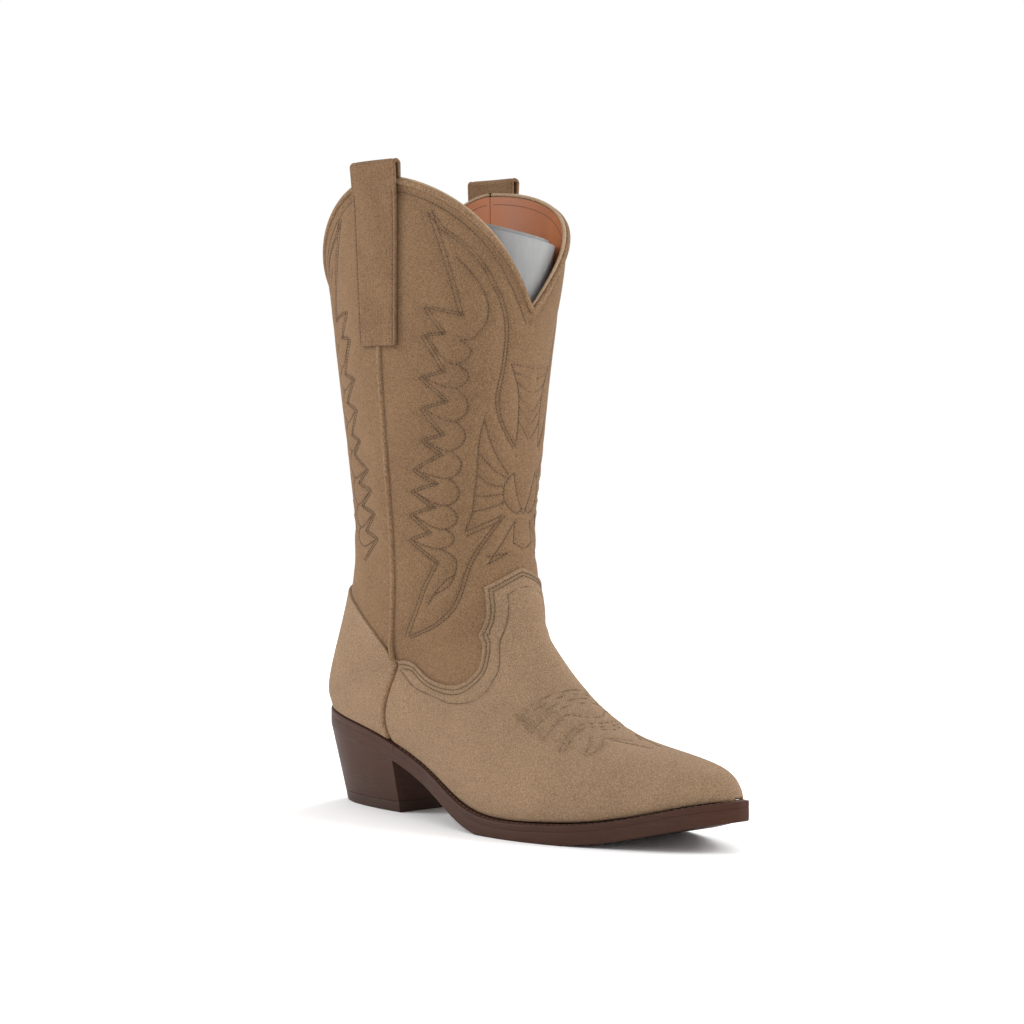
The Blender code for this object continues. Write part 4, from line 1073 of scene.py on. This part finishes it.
def sole_look(name, light, dark):
    """Dark stained sole edge: fine streaks along it, waxed unevenly, rubbed lighter in places."""
    look = Look(name, 0.6, Specular_IOR_Level=0.22)
    layers = look.noise(look.place((1.0, 1.0, 14.0)), 110.0, 4.0, 0.62)
    fleck = look.noise(look.place(), 900.0, 2.0)
    cloud = look.noise(look.place(), 24.0, 3.0)
    tone = look.band(layers, 0.3, 0.7) * 0.55 + look.band(cloud, 0.3, 0.7) * 0.3 + fleck * 0.15
    wax = look.band(cloud, 0.3, 0.7, 0.52, 0.7)
    return look.finish(look.tint(tone, rgb(*dark), rgb(*light)), wax, layers * 0.7 + fleck * 0.3, 0.3, 0.25)


SOLE = sole_look("dark_sole_leather", (0.060, 0.0222, 0.0118), (0.0270, 0.0092, 0.0045))


def edge_line(stations, reach):
    """Sole edge at the given stations, reach outside the last: outer side and inner side rows."""
    s = np.asarray(stations, float)
    fine = np.linspace(SEAT, TIP, 661)
    last = len(fine) - 1
    loop = np.vstack([form(fine, -1.0)[::-1], form(fine, 1.0)[1:]])
    tangent = np.gradient(loop[:, :2], axis=0)
    tangent[0], tangent[-1] = (-1.0, 0.0), (1.0, 0.0)
    normal = np.column_stack([tangent[:, 1], -tangent[:, 0]])
    normal /= np.linalg.norm(normal, axis=1, keepdims=True)
    if normal[last, 1] < 0:
        normal = -normal
    normal[0], normal[-1] = (-0.35, -0.94), (0.35, -0.94)
    reach_fine = np.interp(fine, s, np.broadcast_to(reach, s.shape))
    distance = np.concatenate([reach_fine[::-1], reach_fine[1:]])[:, None]
    moved = np.column_stack([loop[:, :2] + normal * distance, loop[:, 2]])
    return [np.column_stack([np.interp(s, fine, row[:, k]) for k in range(3)])
            for row in (moved[last::-1], moved[last:])]


def at_height(row, z):
    """The same row of points at another height."""
    return np.column_stack([row[:, :2], np.broadcast_to(z, len(row))])


def at_depth(row, depth):
    """The same row of points on the bottom's curve, moved up or down by depth."""
    ahead = MIDDLE_AHEAD - row[:, 1]
    fine = np.linspace(SEAT, TIP, 221)
    curve = np.interp(ahead, END_AHEAD(fine), END_Z(fine)) + (ahead - END_AHEAD(TIP)).clip(0.0) * 0.22
    return at_height(row, curve + depth)


def sole_stations(first, last, count):
    """Stations spaced closer towards both ends."""
    share = np.linspace(0.0, 1.0, count)
    return first + (last - first) * (0.5 * share + 0.5 * (0.5 - 0.5 * np.cos(math.pi * share)))


def sole_reach(s):
    """How far the outsole stands outside the upper."""
    waist = SEAT_REACH + (WAIST_REACH - SEAT_REACH) * np.clip(s - 10.5, 0.0, 1.0)
    return waist + (WELT_REACH - WAIST_REACH) * np.clip((s - 12.0) / 1.5, 0.0, 1.0)


def tread(row, s, less=0.0):
    """A row of points on the outsole's underside, level where it meets the floor."""
    depth = OUTSOLE_WAIST + (OUTSOLE_TREAD - OUTSOLE_WAIST) * np.clip((s - 11.5) / 1.5, 0.0, 1.0)
    curved_row = at_depth(row, OUTSOLE_TOP - depth + less)
    return at_height(row, np.maximum(curved_row[:, 2], less))


def rungs(name, levels, looks):
    """Solid between levels, each a pair of point rows (outer side, inner side) joined by rungs."""
    steps = len(levels[0][0])
    points = np.vstack([p for pair in levels for p in pair])
    near, far = np.arange(steps - 1), np.arange(1, steps)
    flat = np.column_stack([near, far, steps + far, steps + near])
    ring = np.concatenate([np.arange(steps), np.arange(2 * steps - 1, steps - 1, -1)])
    faces = [flat, flat[:, ::-1] + (len(levels) - 1) * 2 * steps]
    for level in range(len(levels) - 1):
        low = ring + level * 2 * steps
        faces.append(np.column_stack([low, np.roll(low, 1), np.roll(low, 1) + 2 * steps, low + 2 * steps]))
    return piece(name, points, np.vstack(faces), looks, smooth_angle=55.0)


EDGE_BEVEL = ((0.0, 0.7), (0.15, 0.3), (0.4, 0.08), (0.8, 0.0))   # (down, in) round a sole edge


def welt_strip(name, stations, from_back, node):
    """Welt or rand: strip under the upper's edge, round the toe or round the heel."""
    def joined(reach):
        outer, inner = edge_line(stations, reach)
        return np.vstack([outer[::-1], inner[1:]]) if from_back else np.vstack([outer, inner[::-1]])
    reach = sole_reach(stations)
    edges = edge_line(stations, 0.0)
    under = -np.minimum(WELT_INWARD, 0.35 * (edges[1][:, 0] - edges[0][:, 0]))
    lines = [at_depth(joined(under), WELT_INNER_TOP)]
    lines += [at_depth(joined(reach - inset), WELT_TOP - down) for down, inset in EDGE_BEVEL]
    lines += [at_depth(joined(reach), WELT_UNDER + 0.15), at_depth(joined(reach - 0.04), WELT_UNDER)]
    lines.append(at_depth(joined(under), WELT_UNDER))
    n, k = len(lines[0]), len(lines)
    numbers = np.arange(k * n).reshape(k, n)
    nxt = np.roll(numbers, -1, axis=0)
    faces = np.stack([numbers[:, :-1], numbers[:, 1:], nxt[:, 1:], nxt[:, :-1]], -1).reshape(-1, 4)
    caps = []
    for e in (numbers[:, 0], numbers[::-1, -1]):
        caps += [(e[j], e[k - 1 - j], e[k - 2 - j], e[j + 1]) for j in range(k // 2 - 1)]
    made = piece(name, np.vstack(lines), np.vstack([faces, caps]), SOLE, smooth_angle=55.0)
    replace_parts(made, node)
    return made


welt_stations = sole_stations(11.332, TIP, 150)
welt_strip("sole_welt", welt_stations, False, "welt")
rand_stations = sole_stations(SEAT, 11.324, 80)
welt_strip("sole_rand", rand_stations, True, "heel_rand")
s = sole_stations(SEAT, TIP, 260)
levels = []
for down, inset in ((0.0, 0.06), (0.06, 0.02), (0.12, 0.0)):
    levels.append([at_depth(row, OUTSOLE_TOP - down) for row in edge_line(s, sole_reach(s) - inset)])
for less, inset in ((0.8, 0.0), (0.3, 0.12), (0.0, 0.8)):
    worn = inset * np.clip(s - 11.0, 0.08, 1.0)
    levels.append([tread(row, s, less) for row in edge_line(s, sole_reach(s) - worn)])
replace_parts(rungs("leather_outsole", levels, SOLE), "outsole")

WELT_THREAD = thread_look("welt_thread", (0.075, 0.037, 0.022))
stitch_reach = sole_reach(welt_stations) - 1.9
sewn_part = slice(4, -6)
outer, inner = (at_depth(row, WELT_TOP + 0.05)
                for row in edge_line(welt_stations[sewn_part], stitch_reach[sewn_part]))
sew("welt_stitches", [outer, inner], WELT_THREAD, pitch=3.4, radius=0.42, hole_radius=0.4)

# ---------------------------------------------------------------- heel
# Underslung heel: a block stacked from stained leather, undercut at the back and the breast, on a
# thin hard-wearing top lift that four pegs hold.
TOP_LIFT = 6.0
HEEL_BREAST = 11.28
HEEL_JOINT = 0.03
BLOCK_SHARE = 0.86            # share of the heel's taper reached at the block's foot
LIFT_SHARE = 0.865            # and at the top of the lift
HEEL_BACK_FOOT = 3.0
HEEL_FOOT_SCALE = (0.67, 0.795)


def heel_level(s, share, inset=0.0):
    """Outline of the stacked heel, from the outsole (share 0) down to the floor (share 1)."""
    outer, inner = edge_line(s, SEAT_REACH - inset)
    back = edge_line(s, SEAT_REACH)[0][0, 1]
    scale_x = 1.0 + (HEEL_FOOT_SCALE[0] - 1.0) * share
    scale_y = 1.0 + (HEEL_FOOT_SCALE[1] - 1.0) * share
    shift = share * (HEEL_BACK_FOOT - (MIDDLE_AHEAD - back))
    return [np.column_stack([row[:, 0] * scale_x, back - shift + (row[:, 1] - back) * scale_y, row[:, 2]])
            for row in (outer, inner)]


s = sole_stations(SEAT, HEEL_BREAST, 110)
levels = []
for share in np.linspace(0.0, 1.0, 26):
    level = []
    for row, start in zip(heel_level(s, share * BLOCK_SHARE), edge_line(s, SEAT_REACH)):
        top = tread(start, s)[:, 2] - HEEL_JOINT
        level.append(at_height(row, top + (TOP_LIFT + 0.1 - top) * share))
    levels.append(level)
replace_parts(rungs("stacked_heel", levels, SOLE), "heel_block")

LIFT = sole_look("top_lift_rubber", (0.052, 0.023, 0.014), (0.026, 0.011, 0.007))
levels = []
LIFT_EDGE = ((TOP_LIFT - 0.1, 0.5), (TOP_LIFT - 0.3, 0.12), (TOP_LIFT - 0.6, 0.0), (0.6, 0.0), (0.2, 0.2),
             (0.0, 0.6))   # (z, in) round the lift's edge
for z, inset in LIFT_EDGE:
    share = LIFT_SHARE + (1.0 - LIFT_SHARE) * (1.0 - z / TOP_LIFT)
    levels.append([at_height(row, z) for row in heel_level(s, share, inset)])
heel_lift = rungs("heel_lift", levels, LIFT)
PEG_PLACES = [(side * 11.0, ahead) for ahead in (27.0, 56.0) for side in (-1, 1)]
PEG_HOLE = 1.2
for number, (x, ahead) in enumerate(PEG_PLACES, 1):
    drill = bmesh.new()
    bmesh.ops.create_cone(drill, cap_ends=True, segments=24, radius1=PEG_HOLE * MM,
                          radius2=PEG_HOLE * MM, depth=30.0 * MM)
    bmesh.ops.translate(drill, verts=drill.verts, vec=(x * MM, (MIDDLE_AHEAD - ahead) * MM, 0.0))
    bit = bpy.data.meshes.new("peg_drill")
    drill.to_mesh(bit)
    drill.free()
    cutter = bpy.data.objects.new("peg_drill", bit)
    bpy.context.scene.collection.objects.link(cutter)
    cut = heel_lift.modifiers.new("peg_hole", "BOOLEAN")
    cut.object, cut.operation, cut.solver = cutter, "DIFFERENCE", "EXACT"
    bored = bpy.data.meshes.new_from_object(heel_lift.evaluated_get(bpy.context.evaluated_depsgraph_get()))
    heel_lift.modifiers.clear()
    heel_lift.data = bored
    bpy.data.objects.remove(cutter, do_unlink=True)
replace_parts(heel_lift, "heel_top_lift")

# ---------------------------------------------------------------- shaft former
# Sheet of stiff glossy film rolled one and a third turns, cut off at a slant; it keeps the shaft
# upright in the shop and lifts straight out.
FORMER_BOTTOM = 118.0
FORMER_SHEET = 0.8
FORMER_TURNS = 1.35
FORMER_TIGHTENS = 0.085
FORMER_TOP = (301.0, 134.0)
FORMER_SLANT = (-0.16, -0.17)


def former_wall(inset, rows, cols):
    """Points down the rolled sheet, inset from its outer face."""
    turns = np.linspace(0.0, FORMER_TURNS, cols)
    angle = math.radians(-60.0) + 2 * math.pi * turns
    grow = 1.0 - FORMER_TIGHTENS * turns / FORMER_TURNS
    wall = []
    for share in np.linspace(0.0, 1.0, rows):
        x = 3.0 - 3.0 * share + ((42.5 - 10.5 * share) * grow - inset) * np.sin(angle)
        ahead = 86.0 - 3.0 * share + ((62.0 - 25.0 * share) * grow - inset) * np.cos(angle)
        top = FORMER_TOP[0] + FORMER_SLANT[0] * x + FORMER_SLANT[1] * (ahead - FORMER_TOP[1]) + 2.0 * turns
        wall.append(np.column_stack([x, MIDDLE_AHEAD - ahead, top + (FORMER_BOTTOM - top) * share]))
    return np.vstack(wall)


def film_look():
    """Grey glossy film, faintly scuffed, with painted light and shade: a colour gradient from dark grey on
    one side to light grey on the other.
    """
    look = Look("grey_film", 0.32)
    scuff = look.noise(look.place((1.0, 1.0, 0.25)), 120.0, 4.0, 0.65)
    x, y = (look.node("ShaderNodeSeparateXYZ", {}, {"Vector": look.place()}, out=k) for k in (0, 1))
    # Painted light and shade: darker towards the outer side and the heel, lighter towards the inner side
    # and the toe.
    lit_side_gradient = look.band(x * 0.74 + y * -0.67, 0.018, 0.050)
    tone = lit_side_gradient * 0.85 + look.band(scuff, 0.3, 0.7) * 0.15
    return look.finish(look.tint(tone, rgb(0.23, 0.23, 0.23), rgb(0.62, 0.62, 0.61)),
                       look.band(scuff, 0.3, 0.7, 0.28, 0.38), scuff, 0.05, 0.1)


FORMER_GRID = (30, 200)
walls = np.vstack([former_wall(inset, *FORMER_GRID) for inset in (FORMER_SHEET, 0.0)])
rolled = piece("rolled_film", walls, shell_faces(*FORMER_GRID), film_look(), "former")
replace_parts(rolled, "shaft_former")

# ---------------------------------------------------------------- inside parts
# What the upper and the sole hide keeps its own shape: boards, cork filling, shank and nails. Each
# takes the finish of what it is made of.


def plain_look(name, light, dark, scale, roughness, metallic=0.0, rise=0.2):
    """Even material with a grain of one size."""
    look = Look(name, roughness, Metallic=metallic)
    grain = look.noise(look.place(), scale, 3.0, 0.6)
    shade = look.tint(look.band(grain, 0.3, 0.7), rgb(*dark), rgb(*light))
    return look.finish(shade, None, grain, 0.3, rise)


HIDDEN = {
    "board": plain_look("fibre_board", (0.52, 0.42, 0.29), (0.40, 0.31, 0.20), 700.0, 0.9),
    "cork": plain_look("cork_filling", (0.42, 0.27, 0.15), (0.24, 0.14, 0.07), 420.0, 0.95, 0.0, 0.5),
    "steel": plain_look("plain_steel", (0.60, 0.60, 0.61), (0.48, 0.48, 0.49), 1600.0, 0.35, 1.0, 0.05),
    "lining": LINING,
}
slot_of = {row["node"]: row["material_slot"] for row in frame["record"]["subparts"]}
for node, shown in frame["nodes"].items():
    if not shown.hide_render:
        shown.data.materials.clear()
        shown.data.materials.append(HIDDEN[slot_of[node]])
